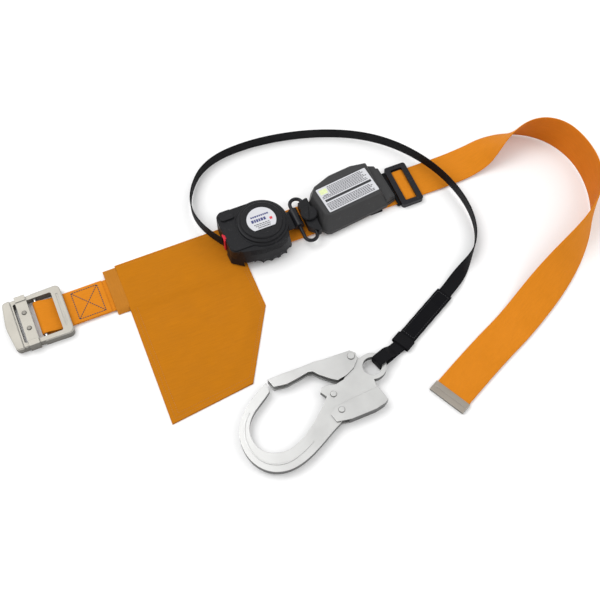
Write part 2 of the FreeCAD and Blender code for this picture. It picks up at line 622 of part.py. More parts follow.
steel = steel.cut(rod(0, 0, frame_low - 1, frame_high + 3, bush_r + 0.02))
nodes["retractor_frame"] = one_solid(steel)
bushes = [tube(0, 0, z0 - 0.1, z0 + plate + 0.1, shaft_r + running, bush_r) for z0 in (frame_low, frame_high)]
nodes["shaft_bushes"] = Part.makeCompound([b.Solids[0] for b in bushes])

# drum on its shaft
drum_low, drum_high = frame_low + plate + 0.3, frame_high - 0.3
drum = tube(0, 0, drum_low, drum_high, shaft_r + 0.02, core_r)
drum = drum.fuse(tube(0, 0, drum_low, drum_low + 0.7, shaft_r + 0.02, flange_r))
drum = drum.fuse(tube(0, 0, drum_high - 0.7, drum_high, shaft_r + 0.02, flange_r))
nodes["drum"] = one_solid(drum)
nodes["drum_shaft"] = rod(0, 0, case_low + lid + 0.6, 40.2, shaft_r)
nodes["wound_webbing"] = tube(0, 0, drum_low + 0.9, drum_high - 0.9, core_r + 0.1, roll_r)

# ratchet above the top plate
ratchet_low = frame_high + plate + 0.3
ratchet_in, ratchet_out, teeth = 18.3, 25.2, 12
ratchet = tube(0, 0, ratchet_low, ratchet_low + 3.0, ratchet_in, ratchet_out)
for k in range(teeth):
    a = 360.0 / teeth * k
    tooth = prism([(ratchet_in + 1, -3.2), (ratchet_in + 1, 1.2), (ratchet_in - 1.1, 0.9)],
                  ratchet_low, ratchet_low + 3.0)
    ratchet = ratchet.fuse(turned(tooth, 0, 0, a))
nodes["ratchet_ring"] = one_solid(ratchet)
carrier_r = 15.5
carrier = tube(0, 0, ratchet_low - 0.1, ratchet_low + 0.9, shaft_r + 0.02, carrier_r)
pawl_at, pin_r = 11.0, 1.5
pawl_z0, pawl_z1 = ratchet_low + 1.1, ratchet_low + 2.9
pins = []
for side in (0, 180):
    pin = turned(rod(pawl_at, 0, ratchet_low + 0.2, pawl_z1 + 0.1, pin_r), 0, 0, side)
    carrier = carrier.cut(turned(rod(pawl_at, 0, ratchet_low - 1, pawl_z1, pin_r + 0.02), 0, 0, side))
    pins.append(pin.Solids[0])
nodes["pawl_carrier"] = one_solid(carrier)
nodes["pawl_pins"] = Part.makeCompound(pins)
pawl = rod(pawl_at, 0, pawl_z0, pawl_z1, 2.9).fuse(prism(
    [(pawl_at - 2.6, 0.6), (pawl_at + 2.7, 1.0), (11.3, 9.0), (9.6, 11.2), (8.3, 9.6)], pawl_z0, pawl_z1))
pawl = pawl.removeSplitter().cut(rod(pawl_at, 0, pawl_z0 - 1, pawl_z1 + 1, pin_r + running))
nodes["pawl_1"] = one_solid(pawl)
nodes["pawl_2"] = one_solid(turned(pawl, 0, 0, 180))

# power spring in its cup under the bottom plate
cup_low, cup_high, cup_r = case_low + lid + 0.2, frame_low - 0.3, 24.0
cup = rod(0, 0, cup_low, cup_high, cup_r).cut(rod(0, 0, cup_low + 0.8, cup_high + 1, cup_r - 1.0))
cup = cup.cut(rod(0, 0, cup_low - 1, cup_high, shaft_r + 0.6))
nodes["spring_cup"] = one_solid(cup)
strip, coils = 0.5, 7
inner_start, outer_end = shaft_r + 0.5, cup_r - 1.8


def spiral(extra, z):
    count = coils * 16
    pts = []
    for k in range(count + 1):
        a = 2 * math.pi * coils * k / count
        r = inner_start + (outer_end - inner_start) * k / count + extra
        pts.append(vec(r * math.cos(a), r * math.sin(a), z))
    curve = Part.BSplineCurve()
    curve.interpolate(pts)
    return curve.toShape(), pts[0], pts[-1]


in_edge, in_a, in_b = spiral(0.0, cup_low + 1.0)
out_edge, out_a, out_b = spiral(strip, cup_low + 1.0)
outline = Part.Wire([in_edge, Part.makeLine(in_b, out_b), out_edge, Part.makeLine(out_a, in_a)])
nodes["power_spring"] = Part.Face(outline).extrude(vec(0, 0, cup_high - cup_low - 1.4))

# lead of the webbing from the roll to the mouth
lead_end = vec(-retractor_left + 3.6, mouth_y, 0)
reach = lead_end.Length
skew = math.asin((roll_r + 0.2 + lanyard_thick / 2) / reach)
to_axis = math.atan2(-lead_end.y, -lead_end.x)
along = math.sqrt(reach ** 2 - (roll_r + 0.2 + lanyard_thick / 2) ** 2)
lead = box(0, along - 1.0, -lanyard_thick / 2, lanyard_thick / 2, web_low + 0.2, web_high - 0.2)
lead = turned(lead, 0, 0, math.degrees(to_axis + skew))
lead.translate(vec(lead_end.x, lead_end.y, 0))
nodes["webbing_lead"] = lead.Solids[0]

# ---------------------------------------------------------------- lanyard
sleeve_angle = math.radians(208.0)
sleeve_dir = vec(math.cos(sleeve_angle), math.sin(sleeve_angle))
sleeve_start = vec(190, -178, 0)
sleeve_length, sleeve_width, sleeve_thick = 84.0, 23.0, 5.0
sleeve_mid = 4.2
rest_z = lanyard_width / 2 + 0.4
lead_in = sleeve_start - sleeve_dir * 54
route = [(-retractor_left - 2.5, mouth_y, web_mid), (-78, 36, 18.0), (-75, 92, rest_z + 1),
         (-33, 140, rest_z), (45, 147, rest_z), (137, 127, rest_z), (211, 84, 12.5), (259, 19, 14.2),
         (280, -54, 13.6), (273, -114, rest_z), (lead_in.x, lead_in.y, rest_z - 0.6),
         (sleeve_start.x, sleeve_start.y, sleeve_mid)]
cord_path, cord_radii, cord_length = stations(route, 6.0)
print("lanyard bend radii, mm:", cord_radii, "length", round(cord_length, 1))
twist = 82.0


def lanyard_section(point, heading, s):
    lie = math.radians(90) * smooth((s - (cord_length - twist)) / (twist - 6.0))
    left = Z.cross(heading).normalize()
    up = heading.cross(left).normalize()
    wide = up * math.cos(lie) - left * math.sin(lie)
    thick = left * math.cos(lie) + up * math.sin(lie)
    w, t = wide * (lanyard_width / 2), thick * (lanyard_thick / 2)
    return (point - w - t, point + w - t, point + w + t, point - w + t)


nodes["lanyard_webbing"] = ribbon([lanyard_section(*s) for s in cord_path])


def on_sleeve(shape):
    out = shape.copy()
    out.rotate(vec(0, 0, 0), Z, math.degrees(sleeve_angle))
    out.translate(sleeve_start)
    return out


half_sleeve = sleeve_width / 2
sleeve = rounded_prism(rect(snug, sleeve_length, -half_sleeve, half_sleeve), 1.5,
                       sleeve_mid - sleeve_thick / 2, sleeve_mid + sleeve_thick / 2)
nodes["lanyard_sleeve"] = on_sleeve(sleeve).Solids[0]
band_at = sleeve_length + 0.4
keeper_band = rounded_prism(rect(band_at, band_at + 15, -half_sleeve - 1.6, half_sleeve + 1.6), 1.5, 0.3, 8.4)
nodes["sleeve_band"] = on_sleeve(keeper_band).Solids[0]

# ---------------------------------------------------------------- hook
eye = vec(55.6, -240.3)
hook_heading = 199.0
plate_low_z = 4.0
plate_high_z = plate_low_z + hook_plate


def on_hook(shape):
    """Hook layout: first axis from the eye to the bend, second to the gate side."""
    out = shape.mirror(vec(0, 0, 0), vec(0, 1, 0))
    out.rotate(vec(0, 0, 0), Z, hook_heading)
    out.translate(eye)
    return out


def curve_through(points, z):
    c = Part.BSplineCurve()
    c.interpolate([vec(x, y, z) for x, y in points])
    return c.toShape()


bend_out = [(117, 72.5), (146, 67), (167, 59), (184, 46), (196, 24), (198, 0), (190, -20), (172, -34),
            (150, -38.5), (118, -36), (84, -31)]
bend_in = [(72, 7), (94, -3), (112, -9.5), (132, -14), (153, -14.5), (171, -5), (180, 9), (180, 25),
           (172, 40), (159, 49.5), (142, 55), (121, 61)]
neck = [(84, -31), (66, -27.5), (36, -38), (22, -39), (17, -34), (14, -22), (11, -15)]
rim = eye_radius + eye_rim
throat = [(6, rim - 1.6), (6, 31), (10, 35), (17, 34), (24, 26), (30, 15), (40, 10.5), (52, 12), (60, 18),
          (69, 21), (74, 17), (72, 7)]
start = (rim * math.cos(math.radians(-58)), rim * math.sin(math.radians(-58)))
finish = (rim * math.cos(math.radians(72)), rim * math.sin(math.radians(72)))
back_of_eye = (-rim, 0)
edges = [curve_through(bend_out, plate_low_z)]
line_points = neck + [start]
for a, b in zip(line_points, line_points[1:]):
    edges.append(Part.makeLine(vec(*a, plate_low_z), vec(*b, plate_low_z)))
edges.append(Part.Arc(vec(*start, plate_low_z), vec(*back_of_eye, plate_low_z),
                      vec(*finish, plate_low_z)).toShape())
line_points = [finish] + throat[1:]
for a, b in zip(line_points, line_points[1:]):
    edges.append(Part.makeLine(vec(*a, plate_low_z), vec(*b, plate_low_z)))
edges.append(curve_through(bend_in, plate_low_z))
edges.append(Part.makeLine(vec(121, 61, plate_low_z), vec(117, 72.5, plate_low_z)))
hook = Part.Face(Part.Wire(edges)).extrude(vec(0, 0, hook_plate))
gate_pin = (11.7, 27.5)
stop_pin = (63.4, 4.0)
lever_pin = (70.6, -19.0)
gate_pin_r, lever_pin_r = 3.4, 2.8
hook = hook.cut(rod(0, 0, 0, 30, eye_radius))
for (x, y), r in ((gate_pin, gate_pin_r), (stop_pin, lever_pin_r), (lever_pin, lever_pin_r)):
    hook = hook.cut(rod(x, y, 0, 30, r + 0.02))
# pocket for the gate spring
pocket_r = 6.4
hook = hook.cut(rod(*gate_pin, plate_high_z - 3.6, plate_high_z + 1, pocket_r))
# raised ridge along the bend
ridge_line = [(160, 56), (178, 44), (189, 24), (190.5, 0), (183, -15), (168, -26), (148, -29), (124, -27)]
ridge = Part.BSplineCurve()
ridge.interpolate([vec(x, y, plate_high_z) for x, y in ridge_line])
ridge_low = Part.BSplineCurve()
ridge_in = [(x + (148 - x) * 0.028, y + (10 - y) * 0.045) for x, y in ridge_line]
ridge_low.interpolate([vec(x, y, plate_high_z) for x, y in ridge_in])
ridge_face = Part.Face(Part.Wire([
    ridge.toShape(), Part.makeLine(vec(*ridge_line[-1], plate_high_z), vec(*ridge_in[-1], plate_high_z)),
    ridge_low.toShape(), Part.makeLine(vec(*ridge_in[0], plate_high_z), vec(*ridge_line[0], plate_high_z))]))
hook = hook.fuse(ridge_face.extrude(vec(0, 0, 0.7)))
nodes["hook_body"] = one_solid(on_hook(hook))

# gate: a channel straddling the nose and the pivot
sheet = 1.9
side_gap = 0.25
low_0 = plate_low_z - side_gap - sheet
high_1 = plate_high_z + side_gap + sheet
gate_outer = [(113, 74), (95, 68), (69, 58.5), (53, 53.5), (42, 48), (20, 39.5), (8, 35)]
gate_inner = [(4, 27), (8, 19.5), (20, 13.5), (34, 12), (47, 14), (52, 21), (60, 36), (62.5, 44), (68, 47.5),
              (81, 49.5), (99, 53), (114, 61)]
gate_shape = prism(gate_outer + gate_inner, low_0, high_1)
gate_shape = gate_shape.cut(prism(
    [(122, 73.5), (117, 73.0), (104, 68.6), (95, 65.5), (69, 55.9), (53, 50.8), (42, 45.4), (20, 37.0),
     (0, 30.4 + 7),
     (0, 0), (122, 0)], plate_low_z - side_gap, plate_high_z + side_gap))
gate_shape = gate_shape.cut(rod(*gate_pin, 0, 30, gate_pin_r + running))
nodes["hook_gate"] = one_solid(on_hook(gate_shape))


def pin_with_heads(x, y, r, head, low, high):
    pin = rod(x, y, low - 1.6, high + 1.6, r)
    pin = pin.fuse(Part.makeCone(head - 0.9, head, 1.5, vec(x, y, low - 1.65)))
    return pin.fuse(Part.makeCone(head, head - 0.9, 1.5, vec(x, y, high + 0.15))).removeSplitter().Solids[0]


nodes["gate_rivet"] = on_hook(pin_with_heads(*gate_pin, gate_pin_r, 5.2, low_0, high_1)).Solids[0]
nodes["lock_rivet"] = on_hook(pin_with_heads(*lever_pin, lever_pin_r, 4.4, low_0, high_1)).Solids[0]
nodes["stop_rivet"] = on_hook(pin_with_heads(*stop_pin, lever_pin_r, 4.4, plate_low_z - 0.12,
                                             plate_high_z + 0.12)).Solids[0]
lever_outline = [(15, -27), (17, -47), (24, -48.5), (37, -47), (69, -36.5), (86, -27), (85, -15), (74, -10.5),
                 (52, -16), (30, -22)]
lever = prism(lever_outline, low_0, high_1)
lever = lever.cut(prism([(0, 0), (0, -38), (15.5, -41), (18, -45), (24, -46.3), (37, -44.8), (66, -35.2),
                         (84, -34),
                         (95, -31), (95, 0)], plate_low_z - side_gap, plate_high_z + side_gap))
lever = lever.cut(rod(*lever_pin, 0, 30, lever_pin_r + running))
nodes["lock_lever"] = one_solid(on_hook(lever))


def coil(x, y, z, r, wire_r, turns):
    """Closely wound torsion spring: turns that touch, with a straight leg."""
    pitch = 1.7 * wire_r
    rings = [Part.makeTorus(r, wire_r, vec(x, y, z + k * pitch), Z) for k in range(turns)]
    leg = Part.makeCylinder(wire_r * 0.95, r * 0.4, vec(x - r, y, z), vec(0, 1, 0))
    return rings[0].fuse(rings[1:] + [leg]).removeSplitter()


nodes["gate_spring"] = on_hook(coil(*gate_pin, plate_high_z - 2.9, 4.7, 0.5, 3)).Solids[0]

# webbing eye round the rim of the hook
loop_half = 8.5
sleeve_tip = sleeve_start + sleeve_dir * (band_at + 15)
loop_dir = (sleeve_tip - eye)
loop_len = math.hypot(loop_dir.x, loop_dir.y)
loop_turn = math.degrees(math.atan2(loop_dir.y, loop_dir.x))
s0, t = eye_radius - 5.9, 1.8
far = loop_len - 4.7
low_skin, high_skin = 1.2, high_1 + 0.3
outer = [(s0, low_skin), (far - 12, low_skin), (far, 1.6), (far, 6.8), (far - 6, 6.8),
         (s0 + 20, high_skin + t),
         (s0, high_skin + t)]
inner = [(s0 + t, low_skin + t), (far - 14, low_skin + t), (far - 9.5, 4.4), (s0 + 19, high_skin),
         (s0 + t, high_skin)]
loop = profile_y(outer, -loop_half, loop_half).cut(profile_y(inner, -loop_half - 1, loop_half + 1))
loop = turned(loop, 0, 0, loop_turn)
loop.translate(eye)
nodes["lanyard_eye_loop"] = loop.Solids[0]

# ---------------------------------------------------------------- storage pouch
pouch_x0, pouch_y1 = -199.5, 33.0
hem_x0, hem_x1 = pouch_x0 - 20.5, pouch_x0 - 2.5
pouch_y0 = pouch_y1 - pouch_depth
right = pouch_x0 + pouch_length
pouch_outline = [(pouch_x0, pouch_y1), (pouch_x0 - 7, pouch_y0), (pouch_x0 + 107, pouch_y0 + 13),
                 (right, pouch_y0 + 112), (right + 1, pouch_y1)]
tunnel_low, tunnel_high = belt_under - loose, belt_top + loose
back_cloth = rounded_prism(pouch_outline, 3.0, 0.0, cloth_thick)
front_low = cloth_thick + 0.3
fold_y = buckle_y - half_belt - 3.0
wrap_y = half_belt + 2.5
front_profile = [(wrap_y + cloth_thick, front_low), (wrap_y + cloth_thick, tunnel_high + cloth_thick),
                 (fold_y, tunnel_high + cloth_thick), (fold_y - 6, front_low + cloth_thick),
                 (pouch_y0 - 10, front_low + cloth_thick), (pouch_y0 - 10, front_low),
                 (fold_y - 5.4, front_low),
                 (fold_y + 0.4, tunnel_high), (wrap_y, tunnel_high), (wrap_y, front_low)]
front_cloth = profile_x(front_profile, hem_x1 + 0.3, right + 5)
smaller = [(x + (1.0 if x < -100 else -1.0), y + (1.2 if y < -60 else -0.4)) for x, y in pouch_outline]
front_cloth = front_cloth.common(rounded_prism(smaller, 3.0, 0, 20))
nodes["pouch_back_panel"] = back_cloth
nodes["pouch_front_panel"] = one_solid(front_cloth)
hem_low = fold_y - 4.0
hem = box(hem_x0, hem_x1, hem_low, wrap_y + cloth_thick + 0.6, 0.0, tunnel_high + cloth_thick + 0.2)
hem = hem.cut(box(hem_x0 - 1, pouch_x0, hem_low + 1.4, wrap_y + 0.4, cloth_thick, tunnel_high))
nodes["pouch_loop_hem"] = hem

# ---------------------------------------------------------------- frame and files
cord_names = ("lanyard_webbing",)
bounds = FreeCAD.BoundBox()
for name, shape in nodes.items():
    if name not in cord_names:
        bounds.add(shape.BoundBox)
shift = vec(-bounds.Center.x, -bounds.Center.y, -bounds.ZMin)
axes = {
    "link": vec(link_x0, 0, link_z) + shift,
    "drum": vec(0, 0, 0) + shift,
    "eye": eye + shift,
    "shift": shift,
}
for label_name, point in axes.items():
    print(label_name, [round(c, 4) for c in point])


def hook_point(x, y):
    a = math.radians(hook_heading)
    return vec(eye.x + x * math.cos(a) + y * math.sin(a), eye.y + x * math.sin(a) - y * math.cos(a)) + shift


os.makedirs("parts", exist_ok=True)
for name, shape in nodes.items():
    out = shape.copy()
    out.translate(shift)
    out.exportStep("parts/" + name + ".step")
    print(name, len(out.Solids), out.isValid(), round(out.Volume, 1))
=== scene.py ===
import math
import random

import bmesh
import bpy
from mathutils import Matrix, Vector


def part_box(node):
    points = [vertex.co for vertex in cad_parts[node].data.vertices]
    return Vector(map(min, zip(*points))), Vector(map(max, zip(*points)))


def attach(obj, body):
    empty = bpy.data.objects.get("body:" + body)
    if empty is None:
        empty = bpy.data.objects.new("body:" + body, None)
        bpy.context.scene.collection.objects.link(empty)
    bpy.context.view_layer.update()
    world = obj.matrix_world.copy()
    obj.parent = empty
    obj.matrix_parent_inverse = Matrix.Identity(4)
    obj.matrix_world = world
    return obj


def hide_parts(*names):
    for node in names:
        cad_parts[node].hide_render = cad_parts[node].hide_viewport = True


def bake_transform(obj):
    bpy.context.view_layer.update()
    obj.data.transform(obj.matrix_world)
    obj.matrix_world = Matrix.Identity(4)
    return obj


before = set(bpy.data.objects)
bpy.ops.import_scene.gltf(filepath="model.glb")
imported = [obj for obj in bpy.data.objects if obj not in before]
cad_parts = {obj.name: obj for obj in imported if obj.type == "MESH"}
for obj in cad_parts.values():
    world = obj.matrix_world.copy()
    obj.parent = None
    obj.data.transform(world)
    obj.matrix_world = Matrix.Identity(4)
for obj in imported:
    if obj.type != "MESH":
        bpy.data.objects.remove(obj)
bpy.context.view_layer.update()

bl_info = {
    "name": "Belt Lifeline Builder",
    "version": (1, 0, 0),
    "blender": (4, 5, 0),
    "location": "View3D > Sidebar > Lifeline",
    "description": "Soft parts, stitching, labels and finishes of a belt-mounted retracting lifeline",
    "category": "Object",
}

MM = 0.001
SHAFT_LOW, SHAFT_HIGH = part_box("drum_shaft")
DRUM_AXIS = (SHAFT_LOW + SHAFT_HIGH) / 2
UP = Vector((0, 0, 1))
BELT_UNDER = 1.6        # underside of the flat belt above the floor, mm
BELT_TURN = 6.5         # how far the pack is turned on the belt, degrees


# ---------------------------------------------------------------- places and paths
def at(x, y, z=0.0):
    """A point of the layout, in millimetres from the drum's axis at floor level."""
    return Vector((DRUM_AXIS.x + x * MM, DRUM_AXIS.y + y * MM, z * MM))


def smooth(t):
    t = max(0.0, min(1.0, t))
    return t * t * (3 - 2 * t)


def spline_object(name, points, closed=False):
    """A NURBS curve through the room of its control points."""
    data = bpy.data.curves.new(name, "CURVE")
    data.dimensions = "3D"
    data.resolution_u = 14
    line = data.splines.new("NURBS")
    line.points.add(len(points) - 1)
    for knot, point in zip(line.points, points):
        knot.co = (*point, 1.0)
    line.order_u = 3
    if closed:
        line.use_cyclic_u = True
    else:
        line.use_endpoint_u = True
    curve = bpy.data.objects.new(name, data)
    bpy.context.scene.collection.objects.link(curve)
    return curve


def spline_points(points, closed=False):
    """Points read from the NURBS spline of these control points."""
    curve = spline_object("route_guide", points, closed)
    bpy.context.view_layer.update()
    graph = bpy.context.evaluated_depsgraph_get()
    mesh = bpy.data.meshes.new_from_object(curve.evaluated_get(graph))
    found = [v.co.copy() for v in mesh.vertices]
    bpy.data.meshes.remove(mesh)
    data = curve.data
    bpy.data.objects.remove(curve)
    bpy.data.curves.remove(data)
    return found


def runs(points, closed=False):
    """Each point with its heading and its distance along the line."""
    count = len(points)
    out, length = [], 0.0
    for i, point in enumerate(points):
        if i:
            length += (point - points[i - 1]).length
        if closed:
            heading = points[(i + 1) % count] - points[i - 1]
        else:
            heading = points[min(i + 1, count - 1)] - points[max(i - 1, 0)]
        out.append((point, heading.normalized(), length))
    return out


# ---------------------------------------------------------------- mesh makers
def new_object(name, mesh):
    piece = bpy.data.objects.new(name, mesh)
    bpy.context.scene.collection.objects.link(piece)
    return piece


def clear_selection():
    if bpy.context.object and bpy.context.object.mode != "OBJECT":
        bpy.ops.object.mode_set(mode="OBJECT")
    for each in bpy.context.selected_objects:
        each.select_set(False)


def shade(piece, degrees=40.0):
    clear_selection()
    piece.select_set(True)
    bpy.context.view_layer.objects.active = piece
    bpy.ops.object.shade_smooth_by_angle(angle=math.radians(degrees))
    piece.select_set(False)


def mesh_object(name, shape, degrees):
    """The finished bmesh as an object, shaded smooth below the angle."""
    mesh = bpy.data.meshes.new(name)
    shape.to_mesh(mesh)
    shape.free()
    piece = new_object(name, mesh)
    shade(piece, degrees)
    return piece


def fitted(piece, body=None, node=None, material=None):
    """Give a new piece its finish, the CAD node it stands for and its body."""
    if material:
        piece.data.materials.append(finish(material))
    if node:
        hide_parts(node)
    if body:
        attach(piece, body)
    return piece


def between(corners, shares):
    """Points at the given shares of every side of a closed outline."""
    out = []
    for (u0, v0), (u1, v1) in zip(corners, corners[1:] + corners[:1]):
        out += [(u0 + (u1 - u0) * t, v0 + (v1 - v0) * t) for t in shares]
    return out


def facing(points, axis, closed=True):
    """Stations of a strap along a NURBS line whose width lies along the axis."""
    line = runs(spline_points(points, closed), closed)
    return [(p, axis, h.cross(axis).normalized(), s) for p, h, s in line]


def strap_section(width, thick, across_cuts=10):
    """Outline of flat webbing, its selvedges rounded: (across, outward) pairs."""
    half, deep = width / 2, thick / 2
    edge = deep * 0.95
    flat = half - edge
    top = [(-flat + 2 * flat * k / across_cuts, deep) for k in range(across_cuts + 1)]
    right = [(flat + edge * math.cos(a), deep * math.sin(a)) for a in (0.8, 0.0, -0.8)]
    low = [(w, -t) for w, t in reversed(top)]
    left = [(-w, t) for w, t in reversed(right)]
    return top + right + low + left


def strap(name, stations, width, thick, closed=False, under_material=None):
    """Woven strap through stations of (centre, across, outward, distance along)."""
    outline = strap_section(width, thick)
    around = len(outline)
    lengths = [0.0]
    for k in range(around):
        w0, t0 = outline[k]
        w1, t1 = outline[(k + 1) % around]
        lengths.append(lengths[-1] + math.hypot(w1 - w0, t1 - t0))
    shape = bmesh.new()
    weave = shape.loops.layers.uv.new("weave")
    rings = []
    for centre, across, outward, _ in stations:
        rings.append([shape.verts.new(centre + across * w + outward * t) for w, t in outline])
    spans = len(rings) if closed else len(rings) - 1
    for i in range(spans):
        a, b = rings[i], rings[(i + 1) % len(rings)]
        u0 = stations[i][3]
        u1 = stations[i + 1][3] if i + 1 < len(stations) else u0 + (stations[0][0] - stations[i][0]).length
        for k in range(around):
            n = (k + 1) % around
            face = shape.faces.new((a[k], a[n], b[n], b[k]))
            for loop, uv in zip(face.loops, ((u0, lengths[k]), (u0, lengths[k + 1]),
                                             (u1, lengths[k + 1]), (u1, lengths[k]))):
                loop[weave].uv = uv
            face.material_index = 1 if under_material and under_material(k, i, around) else 0
    if not closed:
        shape.faces.new(list(reversed(rings[0])))
        shape.faces.new(rings[-1])
    bmesh.ops.recalc_face_normals(shape, faces=shape.faces[:])
    return mesh_object(name, shape, 50)


def cloth_panel(name, columns, rows, place, thick):
    """Cloth with two faces over a grid; place(a, b) gives the mid point for a, b from 0 to 1."""
    shape = bmesh.new()
    weave = shape.loops.layers.uv.new("weave")
    mids = [[place(i / columns, j / rows) for j in range(rows + 1)] for i in range(columns + 1)]

    def normal(i, j):
        along = mids[min(i + 1, columns)][j] - mids[max(i - 1, 0)][j]
        down = mids[i][min(j + 1, rows)] - mids[i][max(j - 1, 0)]
        n = along.cross(down).normalized()
        return n if n.z > 0 else -n

    top = [[shape.verts.new(mids[i][j] + normal(i, j) * thick / 2) for j in range(rows + 1)]
           for i in range(columns + 1)]
    low = [[shape.verts.new(mids[i][j] - normal(i, j) * thick / 2) for j in range(rows + 1)]
           for i in range(columns + 1)]
    for i in range(columns):
        for j in range(rows):
            shape.faces.new((top[i][j], top[i + 1][j], top[i + 1][j + 1], top[i][j + 1]))
            shape.faces.new((low[i][j], low[i][j + 1], low[i + 1][j + 1], low[i + 1][j]))
    border = [(i, 0) for i in range(columns)] + [(columns, j) for j in range(rows)]
    border += [(i, rows) for i in range(columns, 0, -1)] + [(0, j) for j in range(rows, 0, -1)]
    for (i0, j0), (i1, j1) in zip(border, border[1:] + border[:1]):
        shape.faces.new((top[i0][j0], low[i0][j0], low[i1][j1], top[i1][j1]))
    bmesh.ops.recalc_face_normals(shape, faces=shape.faces[:])
    for face in shape.faces:
        for loop in face.loops:
            loop[weave].uv = (loop.vert.co.x, loop.vert.co.y + loop.vert.co.z * 0.7)
    return mesh_object(name, shape, 50)


def stitch_rows(name, rows, pitch, long, fat, material):
    """Sewing thread: one stitch, copied along every row of points, each with its outward side."""
    clear_selection()
    bpy.ops.mesh.primitive_uv_sphere_add(segments=8, ring_count=6, radius=1.0)
    seed = bpy.context.object
    bpy.ops.object.mode_set(mode="EDIT")
    bpy.ops.mesh.select_all(action="SELECT")
    bpy.ops.transform.resize(value=(long / 2, fat / 2, fat / 2.6))
    bpy.ops.object.mode_set(mode="OBJECT")
    stitch = seed.data
    shape = bmesh.new()
    for points, outward in rows:
        line = runs(points)
        total = line[-1][2]
        count = max(1, int(total / pitch))
        step, mark = total / count, 0
        for k in range(count):
            want = (k + 0.5) * step
            while mark < len(line) - 2 and line[mark + 1][2] < want:
                mark += 1
            (p, _, s0), (q, _, s1) = line[mark], line[mark + 1]
            spot = p.lerp(q, (want - s0) / max(s1 - s0, 1e-9))
            along = (q - p).normalized()
            side = outward.cross(along).normalized()
            turn = Matrix((along, side, along.cross(side))).transposed().to_4x4()
            turn.translation = spot
            start = len(shape.verts)
            shape.from_mesh(stitch)
            shape.verts.ensure_lookup_table()
            bmesh.ops.transform(shape, matrix=turn, verts=shape.verts[start:])
    bpy.data.objects.remove(seed)
    bpy.data.meshes.remove(stitch)
    piece = mesh_object(name, shape, 70)
    piece.data.materials.append(material)
    return piece


def printed_marks(name, marks, level, turn, thin, material):
    """Flat printed bars: each mark is (x, y, half length, half height) in metres round the turn's origin."""
    clear_selection()
    bpy.ops.mesh.primitive_plane_add(size=1.0)
    piece = bpy.context.object
    piece.name = piece.data.name = name
    bpy.ops.object.mode_set(mode="EDIT")
    bpy.ops.mesh.select_all(action="SELECT")
    bpy.ops.mesh.delete(type="VERT")
    for x, y, half_long, half_high in marks:
        bpy.ops.mesh.select_all(action="DESELECT")
        bpy.ops.mesh.primitive_plane_add(size=2.0, location=(x, y, 0))
        bpy.ops.transform.resize(value=(half_long, half_high, 1), center_override=(x, y, 0))
    bpy.ops.mesh.select_all(action="SELECT")
    bpy.ops.mesh.extrude_region_move(TRANSFORM_OT_translate={"value": (0, 0, thin)})
    bpy.ops.object.mode_set(mode="OBJECT")
    piece.data.transform(turn @ Matrix.Translation((0, 0, level)))
    shape = bmesh.new()
    shape.from_mesh(piece.data)
    bmesh.ops.recalc_face_normals(shape, faces=shape.faces[:])
    shape.to_mesh(piece.data)
    shape.free()
    piece.data.materials.append(material)
    return piece


# ---------------------------------------------------------------- shader groups
def shader_group(name, inputs, outputs):
    group = bpy.data.node_groups.new(name, "ShaderNodeTree")
    for label, kind, value in inputs:
        socket = group.interface.new_socket(name=label, in_out="INPUT", socket_type=kind)
        if value is not None:
            socket.default_value = value
    for label, kind in outputs:
        group.interface.new_socket(name=label, in_out="OUTPUT", socket_type=kind)
    return group, group.nodes.new("NodeGroupInput"), group.nodes.new("NodeGroupOutput")


def give(group, result, **values):
    """Link what a group works out to its outputs."""
    for label, value in values.items():
        group.links.new(value, result.inputs[label])


def feed(tree, value, socket):
    if isinstance(value, bpy.types.NodeSocket):
        tree.links.new(value, socket)
    else:
        socket.default_value = value


def calc(tree, operation, a, b=None, c=None):
    node = tree.nodes.new("ShaderNodeMath")
    node.operation = operation
    for k, value in enumerate((a, b, c)):
        if value is not None:
            feed(tree, value, node.inputs[k])
    return node.outputs[0]


def noise(tree, vector, scale, detail=3.0, rough=0.55):
    node = tree.nodes.new("ShaderNodeTexNoise")
    tree.links.new(vector, node.inputs["Vector"])
    feed(tree, scale, node.inputs["Scale"])
    node.inputs["Detail"].default_value = detail
    node.inputs["Roughness"].default_value = rough
    return node.outputs["Fac"]


def stretched(tree, vector, scale):
    node = tree.nodes.new("ShaderNodeMapping")
    tree.links.new(vector, node.inputs["Vector"])
    node.inputs["Scale"].default_value = scale
    return node.outputs["Vector"]


def spread(tree, value, low, high, to_low, to_high):
    node = tree.nodes.new("ShaderNodeMapRange")
    feed(tree, value, node.inputs["Value"])
    for label, number in (("From Min", low), ("From Max", high), ("To Min", to_low), ("To Max", to_high)):
        feed(tree, number, node.inputs[label])
    return node.outputs["Result"]


def tinted(tree, factor, first, second):
    node = tree.nodes.new("ShaderNodeMix")
    node.data_type = "RGBA"
    feed(tree, factor, node.inputs["Factor"])
    feed(tree, first, node.inputs[6])
    feed(tree, second, node.inputs[7])
    return node.outputs[2]


